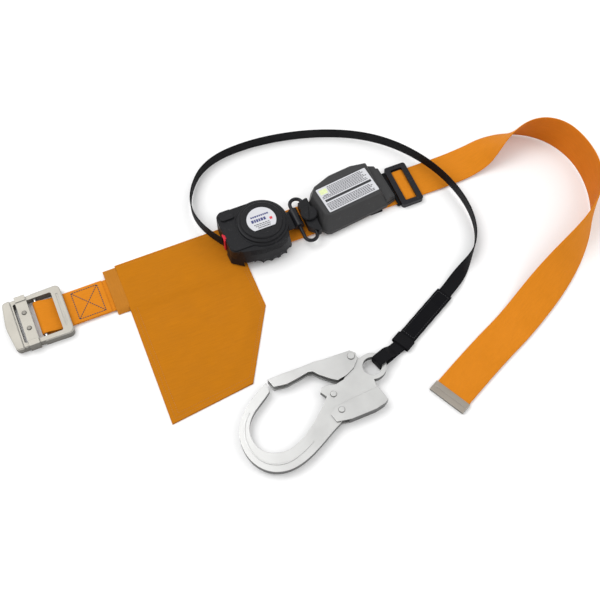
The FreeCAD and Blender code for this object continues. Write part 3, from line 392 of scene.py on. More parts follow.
def make_woven_group():
    """Warp ribs along a strap and the picks across them, with each yarn a little different."""
    group, given, result = shader_group(
        "woven_yarns",
        [("Vector", "NodeSocketVector", None), ("Rib", "NodeSocketFloat", 700.0),
         ("Pick", "NodeSocketFloat", 900.0)],
        [("Height", "NodeSocketFloat"), ("Shade", "NodeSocketFloat")])
    split = group.nodes.new("ShaderNodeSeparateXYZ")
    group.links.new(given.outputs["Vector"], split.inputs[0])
    along, across = split.outputs[0], split.outputs[1]
    lane = calc(group, "MULTIPLY", across, given.outputs["Rib"])
    rib = calc(group, "ABSOLUTE", calc(group, "SINE", calc(group, "MULTIPLY", lane, math.pi)))
    offset = calc(group, "MULTIPLY", calc(group, "FLOOR", lane), 0.5)
    beat = calc(group, "ADD", calc(group, "MULTIPLY", along, given.outputs["Pick"]), offset)
    pick = calc(group, "ABSOLUTE", calc(group, "SINE", calc(group, "MULTIPLY", beat, math.pi)))
    height = calc(group, "MULTIPLY_ADD", pick, 0.55, calc(group, "MULTIPLY", rib, 0.45))
    yarns = noise(group, stretched(group, given.outputs["Vector"], (60.0, 900.0, 1.0)), 1.0, 2.0)
    # Shade is random yarn tone plus painted shade in the hollows between ribs and picks.
    give(group, result, Height=height,
         Shade=calc(group, "MULTIPLY_ADD", yarns, 0.6, calc(group, "MULTIPLY", height, 0.4)))
    return group


def make_cloth_group():
    """Plain weave: threads over and under on a fine square grid, slubs and soft creases."""
    group, given, result = shader_group(
        "plain_cloth",
        [("Vector", "NodeSocketVector", None), ("Threads", "NodeSocketFloat", 1300.0),
         ("Creases", "NodeSocketFloat", 28.0)],
        [("Height", "NodeSocketFloat"), ("Shade", "NodeSocketFloat"), ("Crease", "NodeSocketFloat")])
    split = group.nodes.new("ShaderNodeSeparateXYZ")
    group.links.new(given.outputs["Vector"], split.inputs[0])
    waves = []
    for k in (0, 1):
        turns = calc(group, "MULTIPLY", split.outputs[k], given.outputs["Threads"])
        waves.append(calc(group, "SINE", calc(group, "MULTIPLY", turns, math.pi)))
    weave = calc(group, "MULTIPLY", waves[0], waves[1])
    height = calc(group, "MULTIPLY_ADD", weave, 0.5, 0.5)
    slubs = noise(group, stretched(group, given.outputs["Vector"], (40.0, 600.0, 1.0)), 1.0, 2.0)
    # Shade is uneven slub tone plus painted shade at the low points of the weave.
    give(group, result, Height=height,
         Shade=calc(group, "MULTIPLY_ADD", slubs, 0.7, calc(group, "MULTIPLY", height, 0.3)),
         Crease=noise(group, given.outputs["Vector"], given.outputs["Creases"], 4.0, 0.6))
    return group


def make_grain_group():
    """Fine spark-eroded or cast grain with broad uneven sheen and a little dust."""
    group, given, result = shader_group(
        "surface_grain",
        [("Vector", "NodeSocketVector", None), ("Grain", "NodeSocketFloat", 2600.0),
         ("Patches", "NodeSocketFloat", 45.0)],
        [("Height", "NodeSocketFloat"), ("Sheen", "NodeSocketFloat"), ("Dust", "NodeSocketFloat")])
    fine = noise(group, given.outputs["Vector"], given.outputs["Grain"], 2.0)
    broad = noise(group, given.outputs["Vector"], given.outputs["Patches"], 4.0)
    specks = noise(group, given.outputs["Vector"],
                   calc(group, "MULTIPLY", given.outputs["Patches"], 9.0), 5.0)
    give(group, result, Height=fine, Sheen=broad, Dust=spread(group, specks, 0.6, 0.78, 0.0, 1.0))
    return group


def make_brushed_group():
    """Lines left by belt polishing, with a few longer scratches across them."""
    group, given, result = shader_group(
        "polishing_lines",
        [("Vector", "NodeSocketVector", None), ("Lines", "NodeSocketFloat", 1.0)],
        [("Height", "NodeSocketFloat"), ("Scratch", "NodeSocketFloat")])
    lines = noise(group, stretched(group, given.outputs["Vector"], (120.0, 2600.0, 2600.0)),
                  given.outputs["Lines"], 3.0)
    marks = noise(group, stretched(group, given.outputs["Vector"], (900.0, 70.0, 70.0)), 1.0, 4.0, 0.65)
    give(group, result, Height=lines, Scratch=spread(group, marks, 0.66, 0.74, 0.0, 1.0))
    return group


def make_edge_group():
    """Softened corners: the rounded normal, how near a corner is, and how upright the surface is."""
    group, given, result = shader_group(
        "softened_edges",
        [("Radius", "NodeSocketFloat", 0.0005)],
        [("Normal", "NodeSocketVector"), ("Edge", "NodeSocketFloat"), ("Wall", "NodeSocketFloat")])
    corner = group.nodes.new("ShaderNodeBevel")
    corner.samples = 6
    group.links.new(given.outputs["Radius"], corner.inputs["Radius"])
    surface = group.nodes.new("ShaderNodeNewGeometry")
    dot = group.nodes.new("ShaderNodeVectorMath")
    dot.operation = "DOT_PRODUCT"
    group.links.new(corner.outputs["Normal"], dot.inputs[0])
    group.links.new(surface.outputs["Normal"], dot.inputs[1])
    split = group.nodes.new("ShaderNodeSeparateXYZ")
    group.links.new(corner.outputs["Normal"], split.inputs[0])
    upright = calc(group, "ABSOLUTE", split.outputs[2])
    give(group, result, Normal=corner.outputs["Normal"],
         Edge=spread(group, dot.outputs["Value"], 0.985, 0.86, 0.0, 1.0),
         Wall=spread(group, upright, 0.92, 0.25, 0.0, 1.0))
    return group


GROUPS = {}


def group_node(tree, name, **values):
    if name not in GROUPS:
        GROUPS[name] = {"woven": make_woven_group, "cloth": make_cloth_group, "grain": make_grain_group,
                        "brushed": make_brushed_group, "edges": make_edge_group}[name]()
    node = tree.nodes.new("ShaderNodeGroup")
    node.node_tree = GROUPS[name]
    for label, value in values.items():
        feed(tree, value, node.inputs[label])
    return node


def blank_material(name, metallic=0.0, roughness=0.5):
    material = bpy.data.materials.new(name)
    material.use_nodes = True
    tree = material.node_tree
    shader = tree.nodes["Principled BSDF"]
    shader.inputs["Metallic"].default_value = metallic
    shader.inputs["Roughness"].default_value = roughness
    return material, tree, shader


def coordinates(tree, which="Object"):
    return tree.nodes.new("ShaderNodeTexCoord").outputs[which]


def bumped(tree, shader, height, distance, strength=1.0, normal=None):
    node = tree.nodes.new("ShaderNodeBump")
    node.inputs["Distance"].default_value = distance
    node.inputs["Strength"].default_value = strength
    tree.links.new(height, node.inputs["Height"])
    if normal is not None:
        tree.links.new(normal, node.inputs["Normal"])
    tree.links.new(node.outputs["Normal"], shader.inputs["Normal"])


def shades(colour, dark, light):
    return tuple(tuple(min(1.0, c * share) for c in colour[:3]) + (1.0,) for share in (dark, light))


def webbing_material(name, colour, rib=620.0, pick=800.0, depth=0.00035, sheen=0.02, rough=0.78):
    material, tree, shader = blank_material(name)
    woven = group_node(tree, "woven", Vector=coordinates(tree, "UV"), Rib=rib, Pick=pick)
    dark, light = shades(colour, 0.72, 1.16)
    # Colour of the webbing: random yarn tone with painted shade in the weave's hollows.
    yarn_tone_and_weave_shade = tinted(tree, woven.outputs["Shade"], dark, light)
    # Broad random patches darkened toward 0.6 of the colour: uneven yarn tone together with painted shade of
    # soft sags.
    broad_mottle = noise(tree, coordinates(tree), 22.0, 4.0)
    mottle_and_sag_shade = tinted(tree, spread(tree, broad_mottle, 0.35, 0.7, 0.0, 0.16), yarn_tone_and_weave_shade, shades(colour, 0.6, 0.6)[0])
    tree.links.new(mottle_and_sag_shade, shader.inputs["Base Color"])
    tree.links.new(spread(tree, broad_mottle, 0.3, 0.7, rough - 0.06, rough + 0.1), shader.inputs["Roughness"])
    shader.inputs["Sheen Weight"].default_value = sheen
    shader.inputs["Specular IOR Level"].default_value = 0.14
    shader.inputs["Sheen Roughness"].default_value = 0.5
    bumped(tree, shader, woven.outputs["Height"], depth, 0.8)
    return material


def cloth_material(name, colour, threads=1100.0, creases=26.0):
    material, tree, shader = blank_material(name, roughness=0.85)
    shader.inputs["Specular IOR Level"].default_value = 0.12
    cloth = group_node(tree, "cloth", Vector=coordinates(tree, "UV"), Threads=threads, Creases=creases)
    dark, light = shades(colour, 0.8, 1.12)
    base = tinted(tree, cloth.outputs["Shade"], dark, light)
    # Painted shade: the low side of the crease noise, the crease hollows, darkened toward 0.7 of the colour.
    crease_shaded = tinted(tree, spread(tree, cloth.outputs["Crease"], 0.3, 0.75, 0.22, 0.0), base,
                    shades(colour, 0.7, 0.7)[0])
    tree.links.new(crease_shaded, shader.inputs["Base Color"])
    tree.links.new(spread(tree, cloth.outputs["Crease"], 0.3, 0.7, 0.8, 0.92), shader.inputs["Roughness"])
    shader.inputs["Sheen Weight"].default_value = 0.02
    height = calc(tree, "MULTIPLY_ADD", cloth.outputs["Crease"], 6.0, cloth.outputs["Height"])
    bumped(tree, shader, height, 0.0002, 0.8)
    return material


# edge is the share of painted highlight on corners.
def moulded_material(name, colour, rough=0.5, grain=2400.0, depth=0.00006, edge=0.35, corner=0.0005):
    material, tree, shader = blank_material(name, roughness=rough)
    shader.inputs["Specular IOR Level"].default_value = 0.22
    place = coordinates(tree)
    skin = group_node(tree, "grain", Vector=place, Grain=grain, Patches=38.0)
    edges = group_node(tree, "edges", Radius=corner)
    dark, light = shades(colour, 0.88, 1.14)
    base = tinted(tree, skin.outputs["Sheen"], dark, light)
    dusty = tinted(tree, calc(tree, "MULTIPLY", skin.outputs["Dust"], 0.06), base, (0.5, 0.5, 0.48, 1.0))
    # Painted highlight: corners lightened toward 2.4 times the colour by the edge share.
    corner_highlighted = tinted(tree, calc(tree, "MULTIPLY", edges.outputs["Edge"], edge), dusty,
                    shades(colour, 2.4, 2.4)[1])
    tree.links.new(corner_highlighted, shader.inputs["Base Color"])
    tree.links.new(spread(tree, skin.outputs["Sheen"], 0.3, 0.7, rough - 0.07, rough + 0.07),
                   shader.inputs["Roughness"])
    bumped(tree, shader, skin.outputs["Height"], depth, 0.6, edges.outputs["Normal"])
    return material


# wall is the share of painted shade on upright faces; edge is the share of painted highlight on corners.
def metal_material(name, colour, rough=0.3, lines=True, grain=1500.0, depth=0.00001, corner=0.0007, edge=0.3,
                   wall=0.55, metallic=1.0):
    material, tree, shader = blank_material(name, metallic=metallic, roughness=rough)
    place = coordinates(tree)
    skin = group_node(tree, "grain", Vector=place, Grain=grain, Patches=30.0)
    edges = group_node(tree, "edges", Radius=corner)
    dark, light = shades(colour, 0.9, 1.06)
    base = tinted(tree, skin.outputs["Sheen"], dark, light)
    # Painted shade: upright walls darkened toward 0.05 of the colour by the wall share. Painted highlight:
    # corners lightened toward pale grey by the edge share.
    shaded = tinted(tree, calc(tree, "MULTIPLY", edges.outputs["Wall"], wall), base,
                    shades(colour, 0.05, 0.05)[0])
    painted_light_and_scratches = tinted(tree, calc(tree, "MULTIPLY", edges.outputs["Edge"], edge), shaded,
                    (0.90, 0.90, 0.89, 1.0))
    height = skin.outputs["Height"]
    wear = spread(tree, skin.outputs["Sheen"], 0.3, 0.7, rough - 0.05, rough + 0.07)
    if lines:
        polish = group_node(tree, "brushed", Vector=place, Lines=1.0)
        height = calc(tree, "MULTIPLY_ADD", skin.outputs["Height"], 0.4, polish.outputs["Height"])
        wear = calc(tree, "MULTIPLY_ADD", polish.outputs["Scratch"], 0.06, wear)
        painted_light_and_scratches = tinted(tree, calc(tree, "MULTIPLY", polish.outputs["Scratch"], 0.05), painted_light_and_scratches,
                        shades(colour, 0.6, 0.6)[0])
    tree.links.new(painted_light_and_scratches, shader.inputs["Base Color"])
    tree.links.new(wear, shader.inputs["Roughness"])
    bumped(tree, shader, height, depth, 0.5, edges.outputs["Normal"])
    return material


def thread_material(name, colour):
    material, tree, shader = blank_material(name, roughness=0.6)
    place = coordinates(tree)
    twist = noise(tree, stretched(tree, place, (2600.0, 2600.0, 900.0)), 1.0, 2.0)
    dark, light = shades(colour, 0.7, 1.35)
    tree.links.new(tinted(tree, twist, dark, light), shader.inputs["Base Color"])
    shader.inputs["Sheen Weight"].default_value = 0.3
    bumped(tree, shader, twist, 0.00008, 0.7)
    return material


def film_material(name, colour, rough=0.32):
    material, tree, shader = blank_material(name, roughness=rough)
    place = coordinates(tree)
    skin = group_node(tree, "grain", Vector=place, Grain=900.0, Patches=60.0)
    dark, light = shades(colour, 0.93, 1.03)
    base = tinted(tree, skin.outputs["Sheen"], dark, light)
    grubby = tinted(tree, calc(tree, "MULTIPLY", skin.outputs["Dust"], 0.12), base, (0.35, 0.33, 0.3, 1.0))
    tree.links.new(grubby, shader.inputs["Base Color"])
    tree.links.new(spread(tree, skin.outputs["Sheen"], 0.3, 0.7, rough - 0.06, rough + 0.12),
                   shader.inputs["Roughness"])
    shader.inputs["Coat Weight"].default_value = 0.25
    bumped(tree, shader, skin.outputs["Sheen"], 0.0001, 0.4)
    return material


def ink_material(name, colour):
    material, tree, shader = blank_material(name, roughness=0.45)
    place = coordinates(tree)
    fade = noise(tree, place, 700.0, 3.0)
    dark, light = shades(colour, 0.85, 1.5)
    tree.links.new(tinted(tree, fade, dark, light), shader.inputs["Base Color"])
    tree.links.new(spread(tree, fade, 0.3, 0.7, 0.38, 0.6), shader.inputs["Roughness"])
    return material


# ---------------------------------------------------------------- settings
def colour_setting(name, description, default):
    return bpy.props.FloatVectorProperty(name=name, description=description, default=default,
                                         subtype="COLOR", size=3, min=0.0, max=1.0)


def length_setting(name, description, default):
    return bpy.props.FloatProperty(name=name, description=description, default=default,
                                   unit="LENGTH", min=0.0, precision=4)


class LIFELINE_PG_straps(bpy.types.PropertyGroup):
    belt_width: length_setting("Belt Width", "Width of the waist webbing", 0.050)
    belt_thick: length_setting("Belt Thickness", "Thickness of the waist webbing", 0.0019)
    lanyard_width: length_setting("Lanyard Width", "Width of the retracting webbing", 0.018)
    lanyard_thick: length_setting("Lanyard Thickness", "Thickness of the retracting webbing", 0.0016)
    cloth_thick: length_setting("Cloth Thickness", "Thickness of the pouch cloth", 0.0010)
    sag: length_setting("Pouch Sag", "How far the pouch's front stands off its back", 0.0042)
    stitch_pitch: length_setting("Stitch Pitch", "Distance from one stitch to the next", 0.0032)
    thread: length_setting("Thread", "Thickness of the sewing thread", 0.0009)


class LIFELINE_PG_colours(bpy.types.PropertyGroup):
    belt: colour_setting("Belt", "Outer face of the waist webbing", (0.68, 0.222, 0.009))
    belt_inner: colour_setting("Belt Inner Face", "Inner face of the waist webbing", (0.62, 0.165, 0.006))
    cloth: colour_setting("Pouch Cloth", "Pouch cloth", (0.50, 0.170, 0.004))
    hem: colour_setting("Pouch Binding", "Binding tape of the pouch", (0.50, 0.185, 0.016))
    black_webbing: colour_setting("Black Webbing", "Lanyard, sleeve and keepers", (0.0035, 0.0035, 0.0048))
    case: colour_setting("Retractor Case", "Moulded case of the retractor", (0.0068, 0.0070, 0.0086))
    pack: colour_setting("Pack Case", "Moulded case of the energy absorber", (0.040, 0.040, 0.041))
    guide: colour_setting("Webbing Guide", "Guide at the mouth of the retractor", (0.56, 0.016, 0.035))
    hook: colour_setting("Hook", "Plated steel of the hook", (0.60, 0.60, 0.59))
    buckle: colour_setting("Buckle", "Die-cast buckle", (0.40, 0.38, 0.335))
    clip: colour_setting("End Clip", "Pressed clip on the end of the belt", (0.40, 0.36, 0.31))
    navy_thread: colour_setting("Belt Thread", "Thread of the belt's box stitching", (0.02, 0.022, 0.05))
    label: colour_setting("Labels", "Film of the labels", (0.60, 0.605, 0.635))


class LIFELINE_PG_light(bpy.types.PropertyGroup):
    sky: bpy.props.FloatProperty(name="Room Light", description="Strength of the even light all round",
                                 default=0.80, min=0.0)
    key: bpy.props.FloatProperty(name="Key Light", description="Power of the large soft light",
                                 default=26.0, min=0.0, subtype="POWER")
    fill: bpy.props.FloatProperty(name="Fill Light", description="Power of the small fill light",
                                  default=7.0, min=0.0, subtype="POWER")


FINISHES = {}


def finish(name):
    """A named finish, made once."""
    if name in FINISHES:
        return FINISHES[name]
    c = bpy.context.scene.lifeline_colours
    made = {
        "belt_face": lambda: webbing_material("belt_face", c.belt),
        "belt_back": lambda: webbing_material("belt_back", c.belt_inner),
        "black_webbing": lambda: webbing_material("black_webbing", c.black_webbing, rib=900.0, pick=760.0,
                                                  depth=0.0003, sheen=0.0, rough=0.66),
        "pouch_cloth": lambda: cloth_material("pouch_cloth", c.cloth),
        "binding_tape": lambda: webbing_material("binding_tape", c.hem, rib=1100.0, pick=700.0),
        "black_cloth": lambda: cloth_material("black_cloth", c.black_webbing, threads=900.0, creases=60.0),
        "case_plastic": lambda: moulded_material("case_plastic", c.case, rough=0.46),
        "pack_plastic": lambda: moulded_material("pack_plastic", c.pack, rough=0.50),
        "guide_plastic": lambda: moulded_material("guide_plastic", c.guide, rough=0.38, edge=0.1),
        # wall here sets how strong the painted shade on upright faces of the hook and buckle is.
        "hook_plate": lambda: metal_material("hook_plate", c.hook, rough=0.33, metallic=0.8, wall=0.85),
        "buckle_cast": lambda: metal_material("buckle_cast", c.buckle, rough=0.48, lines=False, grain=1900.0,
                                              depth=0.00003, metallic=0.5, wall=0.6),
        "clip_steel": lambda: metal_material("clip_steel", c.clip, rough=0.36),
        "coated_steel": lambda: moulded_material("coated_steel", (0.012, 0.012, 0.015), rough=0.30,
                                                 grain=1200.0, edge=0.6, corner=0.0004),
        "plain_steel": lambda: metal_material("plain_steel", (0.58, 0.58, 0.59), rough=0.32),
        # Slider rivets: steel darkened to about 0.2, carrying painted shade of their recessed heads.
        "rivet_steel_recess_shade": lambda: metal_material("rivet_steel_recess_shade", (0.20, 0.19, 0.17), rough=0.45, lines=False),
        "label_film": lambda: film_material("label_film", c.label),
        "navy_thread": lambda: thread_material("navy_thread", c.navy_thread),
        "orange_thread": lambda: thread_material("orange_thread", tuple(k * 0.8 for k in c.cloth)),
        "black_thread": lambda: thread_material("black_thread", (0.012, 0.012, 0.014)),
        "blue_ink": lambda: ink_material("blue_ink", (0.03, 0.035, 0.14)),
        "grey_ink": lambda: ink_material("grey_ink", (0.045, 0.045, 0.05)),
        "black_ink": lambda: ink_material("black_ink", (0.012, 0.012, 0.014)),
        "red_ink": lambda: ink_material("red_ink", (0.52, 0.03, 0.05)),
        "green_ink": lambda: ink_material("green_ink", (0.56, 0.62, 0.33)),
    }
    FINISHES[name] = made[name]()
    return FINISHES[name]


# ---------------------------------------------------------------- routes
# control points of the free lanyard, from the retractor's mouth to the sleeve, mm
SLEEVE_ANGLE = math.radians(208.0)
SLEEVE_DIR = Vector((math.cos(SLEEVE_ANGLE), math.sin(SLEEVE_ANGLE), 0))
SLEEVE_SIDE = UP.cross(SLEEVE_DIR)
SLEEVE_START = (190.0, -178.0)
SLEEVE_LONG = 84.0
LANYARD_ROUTE = [(-56.5, -2, 25), (-78, 36, 18), (-75, 92, 10.4), (-33, 140, 9.4), (45, 147, 9.4),
                 (137, 127, 9.4), (211, 84, 12.5), (259, 19, 14.2), (280, -54, 13.6), (273, -114, 9.4),
                 (237.68, -152.65, 8.8), (190, -178, 4.2)]
LANYARD_LIES_FLAT = 0.082
# the edge of the free belt tail that stays on the floor, mm
TAIL_EDGE = [(236, 25, 0), (296, 24, 0), (366, 34, 0), (426, 6, 0), (455, -50, 0), (448, -118, 0),
             (414, -176, 0), (356, -228, 0), (276, -274, 0), (206, -304, 0), (137, -339, 0)]
SLIDE_X, HUMP = 213.0, 1.7
BUCKLE_Y = -8.0         # the buckle end of the belt lies this much nearer
SHIFT_FROM, SHIFT_TO = -205.0, -70.0


def lanyard_stations():
    points = spline_points([at(*p) for p in LANYARD_ROUTE])
    line = runs(points)
    total = line[-1][2]
    out = []
    for point, heading, s in line:
        lie = math.radians(90) * smooth((s - (total - LANYARD_LIES_FLAT)) / (LANYARD_LIES_FLAT - 0.006))
        left = UP.cross(heading).normalized()
        up = heading.cross(left).normalized()
        across = up * math.cos(lie) - left * math.sin(lie)
        outward = left * math.cos(lie) + up * math.sin(lie)
        out.append((point, across, outward, s))
    return out


def belt_stations():
    """The belt from its sewn end, round the buckle bar, along the floor and round the free tail."""
    across = Vector((0, -1, 0))
    thick = 2.0
    low, high = BELT_UNDER + thick / 2, BELT_UNDER + thick * 1.5
    bar_x, bar_z, turn_r = -316.0, BELT_UNDER + 4.6, 3.6
    profile = [(-226.0, high), (-240.0, high), (-262.0, high), (-284.0, high), (-295.0, high + 0.15),
               (-304.0, high + 2.3), (-311.0, high + 4.5)]
    for k in range(11):
        a = math.radians(75 + 19.5 * k)
        profile.append((bar_x + turn_r * math.cos(a), bar_z + turn_r * math.sin(a)))
    profile += [(x, low) for x in (-306.0, -290.0, -270.0, -240.0, SHIFT_FROM, SHIFT_TO, -60.0, -40.0, 40.0,
                                   120.0, 180.0, SLIDE_X - 11)]
    profile += [(SLIDE_X - 8, low + 0.3), (SLIDE_X - 6, low + HUMP - 0.3), (SLIDE_X - 4, low + HUMP),
                (SLIDE_X + 4, low + HUMP), (SLIDE_X + 6, low + HUMP - 0.3), (SLIDE_X + 8, low + 0.3),
                (SLIDE_X + 11, low)]
    out = []
    for point, heading, s in runs([at(x, 0, z) for x, z in profile]):
        level = (point.x - at(SHIFT_FROM, 0).x) / (at(SHIFT_TO, 0).x - at(SHIFT_FROM, 0).x)
        aside = UP.cross(Vector((1, 0, 0))) * (BUCKLE_Y * MM * (1 - max(0.0, min(1.0, level))))
        out.append((point + aside, across, heading.cross(across).normalized() * -1, s))
    start = out[-1][3]
    fold_end = next(i for i, (point, _, _, _) in enumerate(out) if i > 12 and point.x > at(-300, 0).x)
    line = runs(spline_points([at(*p) for p in TAIL_EDGE]))
    total = line[-1][2]
    stand_from, stand_full = 0.058, 0.240
    lie_from, lie_full = total - 0.430, total - 0.130
    start += (line[0][0] - at(SLIDE_X + 11, 25)).length
    for point, heading, s in line:
        roll = math.radians(104) * (smooth((s - stand_from) / (stand_full - stand_from))
                                   - smooth((s - lie_from) / (lie_full - lie_from)))
        left = UP.cross(heading).normalized()
        side = left * -math.cos(roll) + UP * math.sin(roll)
        up = left * math.sin(roll) + UP * math.cos(roll)
        rise = (BELT_UNDER * (1 - math.sin(roll) * 0.6) + 1.0) * MM
        base = Vector((point.x, point.y, rise))
        out.append((base + side * 0.025, side, up, start + s))
    return out, fold_end


# ---------------------------------------------------------------- operators
class LIFELINE_OT_stage(bpy.types.Operator):
    """Floor, soft studio light and camera"""
    bl_idname = "lifeline.stage"
    bl_label = "Stage"

    def execute(self, context):
        light = context.scene.lifeline_light
        clear_selection()
        bpy.ops.mesh.primitive_plane_add(size=14.0, location=(0, 0, -0.0002))
        floor = context.object
        floor.name = floor.data.name = "studio_floor"
        floor.data.transform(Matrix.Translation(floor.location))
        floor.location = (0, 0, 0)
        material, tree, shader = blank_material("floor_paper", roughness=0.9)
        mottle = noise(tree, coordinates(tree), 3.0, 2.0)
        tree.links.new(tinted(tree, mottle, (0.93, 0.93, 0.93, 1), (0.955, 0.955, 0.955, 1)),
                       shader.inputs["Base Color"])
        floor.data.materials.append(material)

        world = bpy.data.worlds.new("studio_room")
        world.use_nodes = True
        tree = world.node_tree
        ground = tree.nodes["Background"]
        ground.inputs["Color"].default_value = (1.0, 1.0, 1.0, 1.0)
        ground.inputs["Strength"].default_value = light.sky
        context.scene.world = world

        for name, power, size, spot, aim in (
                ("key_softbox", light.key, 1.7, (-0.9, 0.9, 1.9), (0, 0, 0)),
                ("fill_softbox", light.fill, 1.1, (1.3, -0.7, 1.3), (0.05, 0, 0))):
            lamp = bpy.data.lights.new(name, "AREA")
            lamp.energy, lamp.size = power, size
            holder = bpy.data.objects.new(name, lamp)
            context.scene.collection.objects.link(holder)
            holder.location = spot
            holder.rotation_mode = "QUATERNION"
            holder.rotation_quaternion = (Vector(aim) - Vector(spot)).to_track_quat("-Z", "Y")
        context.scene.view_settings.view_transform = "Standard"

        lens = bpy.data.cameras.new("table_camera")
        lens.lens, lens.sensor_width = 67.2, 36.0
        lens.clip_start, lens.clip_end = 0.05, 30.0
        camera = bpy.data.objects.new("table_camera", lens)
        context.scene.collection.objects.link(camera)
        azimuth, elevation, distance = math.radians(-22.7), math.radians(62.0), 1.490
        back = Vector((math.sin(azimuth) * math.cos(elevation), -math.cos(azimuth) * math.cos(elevation),
                       math.sin(elevation)))
        camera.location = at(9.6, -110.9) + back * distance
        camera.rotation_mode = "QUATERNION"
        camera.rotation_quaternion = (-back).to_track_quat("-Z", "Y")
        context.scene.camera = camera
        return {"FINISHED"}


class LIFELINE_OT_lanyard(bpy.types.Operator):
    """Retracting webbing from the case to the sleeve, standing on edge and turning flat"""
    bl_idname = "lifeline.lanyard"
    bl_label = "Lanyard"

    def execute(self, context):
        sizes = context.scene.lifeline_straps
        stations = lanyard_stations()
        piece = strap("lanyard_strap", stations, sizes.lanyard_width, sizes.lanyard_thick)
        fitted(piece, node="lanyard_webbing", material="black_webbing")
        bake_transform(piece)
        return {"FINISHED"}


class LIFELINE_OT_sleeve(bpy.types.Operator):
    """Cloth sleeve, elastic band and sewn eye at the end of the lanyard"""
    bl_idname = "lifeline.sleeve"
    bl_label = "Sleeve, Band and Eye"

    def execute(self, context):
        sizes = context.scene.lifeline_straps
        origin = at(*SLEEVE_START, 4.2)

        # sleeve: a flattened tube of black cloth
        shape = bmesh.new()
        weave = shape.loops.layers.uv.new("weave")
        wall, around, steps = 0.8 * MM, 36, 34
        rng = random.Random(7)
        phases = [rng.uniform(0, 6.28) for _ in range(4)]
        rings = []
        for k in range(steps + 1):
            s = (0.1 + (SLEEVE_LONG - 0.1) * k / steps) * MM
            ruck = 0.22 * math.sin(k * 1.3 + phases[0]) + 0.16 * math.sin(k * 2.9 + phases[1])
            for inner in (0, 1):
                ring = []
                for n in range(around):
                    a = 2 * math.pi * n / around
                    half_wide = (11.5 + 0.12 * math.sin(k * 0.9 + phases[2])) * MM - wall * inner
                    swell = 0.15 * ruck * (1 + math.sin(a * 3 + phases[3])) / 2
                    half_high = (2.35 + swell) * MM - wall * inner
                    w = half_wide * math.copysign(abs(math.cos(a)) ** 0.55, math.cos(a))
                    h = half_high * math.copysign(abs(math.sin(a)) ** 0.62, math.sin(a))
                    ring.append(shape.verts.new(origin + SLEEVE_DIR * s + SLEEVE_SIDE * w + UP * h))
                rings.append(ring)
        for k in range(steps):
            for inner in (0, 1):
                a, b = rings[2 * k + inner], rings[2 * k + 2 + inner]
                for n in range(around):
                    m = (n + 1) % around
                    face = shape.faces.new((a[n], a[m], b[m], b[n]))
                    for loop, (kk, nn) in zip(face.loops, ((k, n), (k, n + 1), (k + 1, n + 1), (k + 1, n))):
                        loop[weave].uv = (SLEEVE_LONG * MM * kk / steps, 0.052 * nn / around)
        for outer, inner in ((rings[0], rings[1]), (rings[-2], rings[-1])):
            for n in range(around):
                m = (n + 1) % around
                shape.faces.new((outer[n], outer[m], inner[m], inner[n]))
        bmesh.ops.recalc_face_normals(shape, faces=shape.faces[:])
        sleeve = mesh_object("sleeve_tube", shape, 60)
        fitted(sleeve, "belt", "lanyard_sleeve", "black_cloth")

        # band: a closed loop of elastic round the end of the sleeve
        mid = SLEEVE_LONG + 0.4 + 7.5
        outline = between([(12.4, 0.9), (12.4, 7.8), (-12.4, 7.8), (-12.4, 0.9)], (0.12, 0.5, 0.88))
        centre = at(*SLEEVE_START) + SLEEVE_DIR * mid * MM
        stations = facing([centre + SLEEVE_SIDE * w * MM + UP * z * MM for w, z in outline], SLEEVE_DIR)
        band = strap("sleeve_elastic", stations, 15 * MM, 1.0 * MM, closed=True)
        fitted(band, "belt", "sleeve_band", "black_webbing")

        # eye: webbing sewn into a loop through the hook's eye
        eye = at(55.6, -240.3)
        tip = at(*SLEEVE_START) + SLEEVE_DIR * (SLEEVE_LONG + 15.4) * MM
        reach = (tip - eye).length / MM
        heading = (tip - eye).normalized()
        side = UP.cross(heading)
        far = reach - 4.7
        low, wrap, high = 2.1, 7.6, 15.3
        profile = [(reach + 14, 3.5), (far - 1, 3.0), (far - 14, low), (far - 24, low), (12, low),
                   (wrap, low), (wrap - 0.1, 5.0), (wrap - 0.1, 12.0), (wrap, high), (12, high + 0.05),
                   (20, high + 0.05), (27, high - 0.1), (far - 9, 6.6), (far - 5, 5.7), (far - 1, 5.2),
                   (reach + 14, 5.2)]
        stations = facing([eye + heading * s * MM + UP * z * MM for s, z in profile], side, closed=False)
        loop = strap("eye_strap", stations, 17 * MM, 1.6 * MM)
        fitted(loop, "belt", "lanyard_eye_loop", "black_webbing")

        # rows of thread along the sleeve's long edges and across its two ends
        top, row_out = 6.62, 8.6

        def on_sleeve(s, w, z):
            return at(*SLEEVE_START, 0) + SLEEVE_DIR * s * MM + SLEEVE_SIDE * w * MM + UP * (z * MM)

        rows = [([on_sleeve(s, w, top - 0.25) for s in (3.0, SLEEVE_LONG - 3.0)], UP)
                for w in (-row_out, row_out)]
        rows += [([on_sleeve(s, w, top - 0.1) for w in (-row_out, row_out)], UP)
                 for s in (3.5, SLEEVE_LONG - 3.5)]
        thread = stitch_rows("sleeve_stitches", rows, sizes.stitch_pitch, 2.2 * MM, sizes.thread * 0.8,
                             finish("black_thread"))
        fitted(thread, "belt")

        path = [s[0] for s in lanyard_stations()]
        return {"FINISHED"}


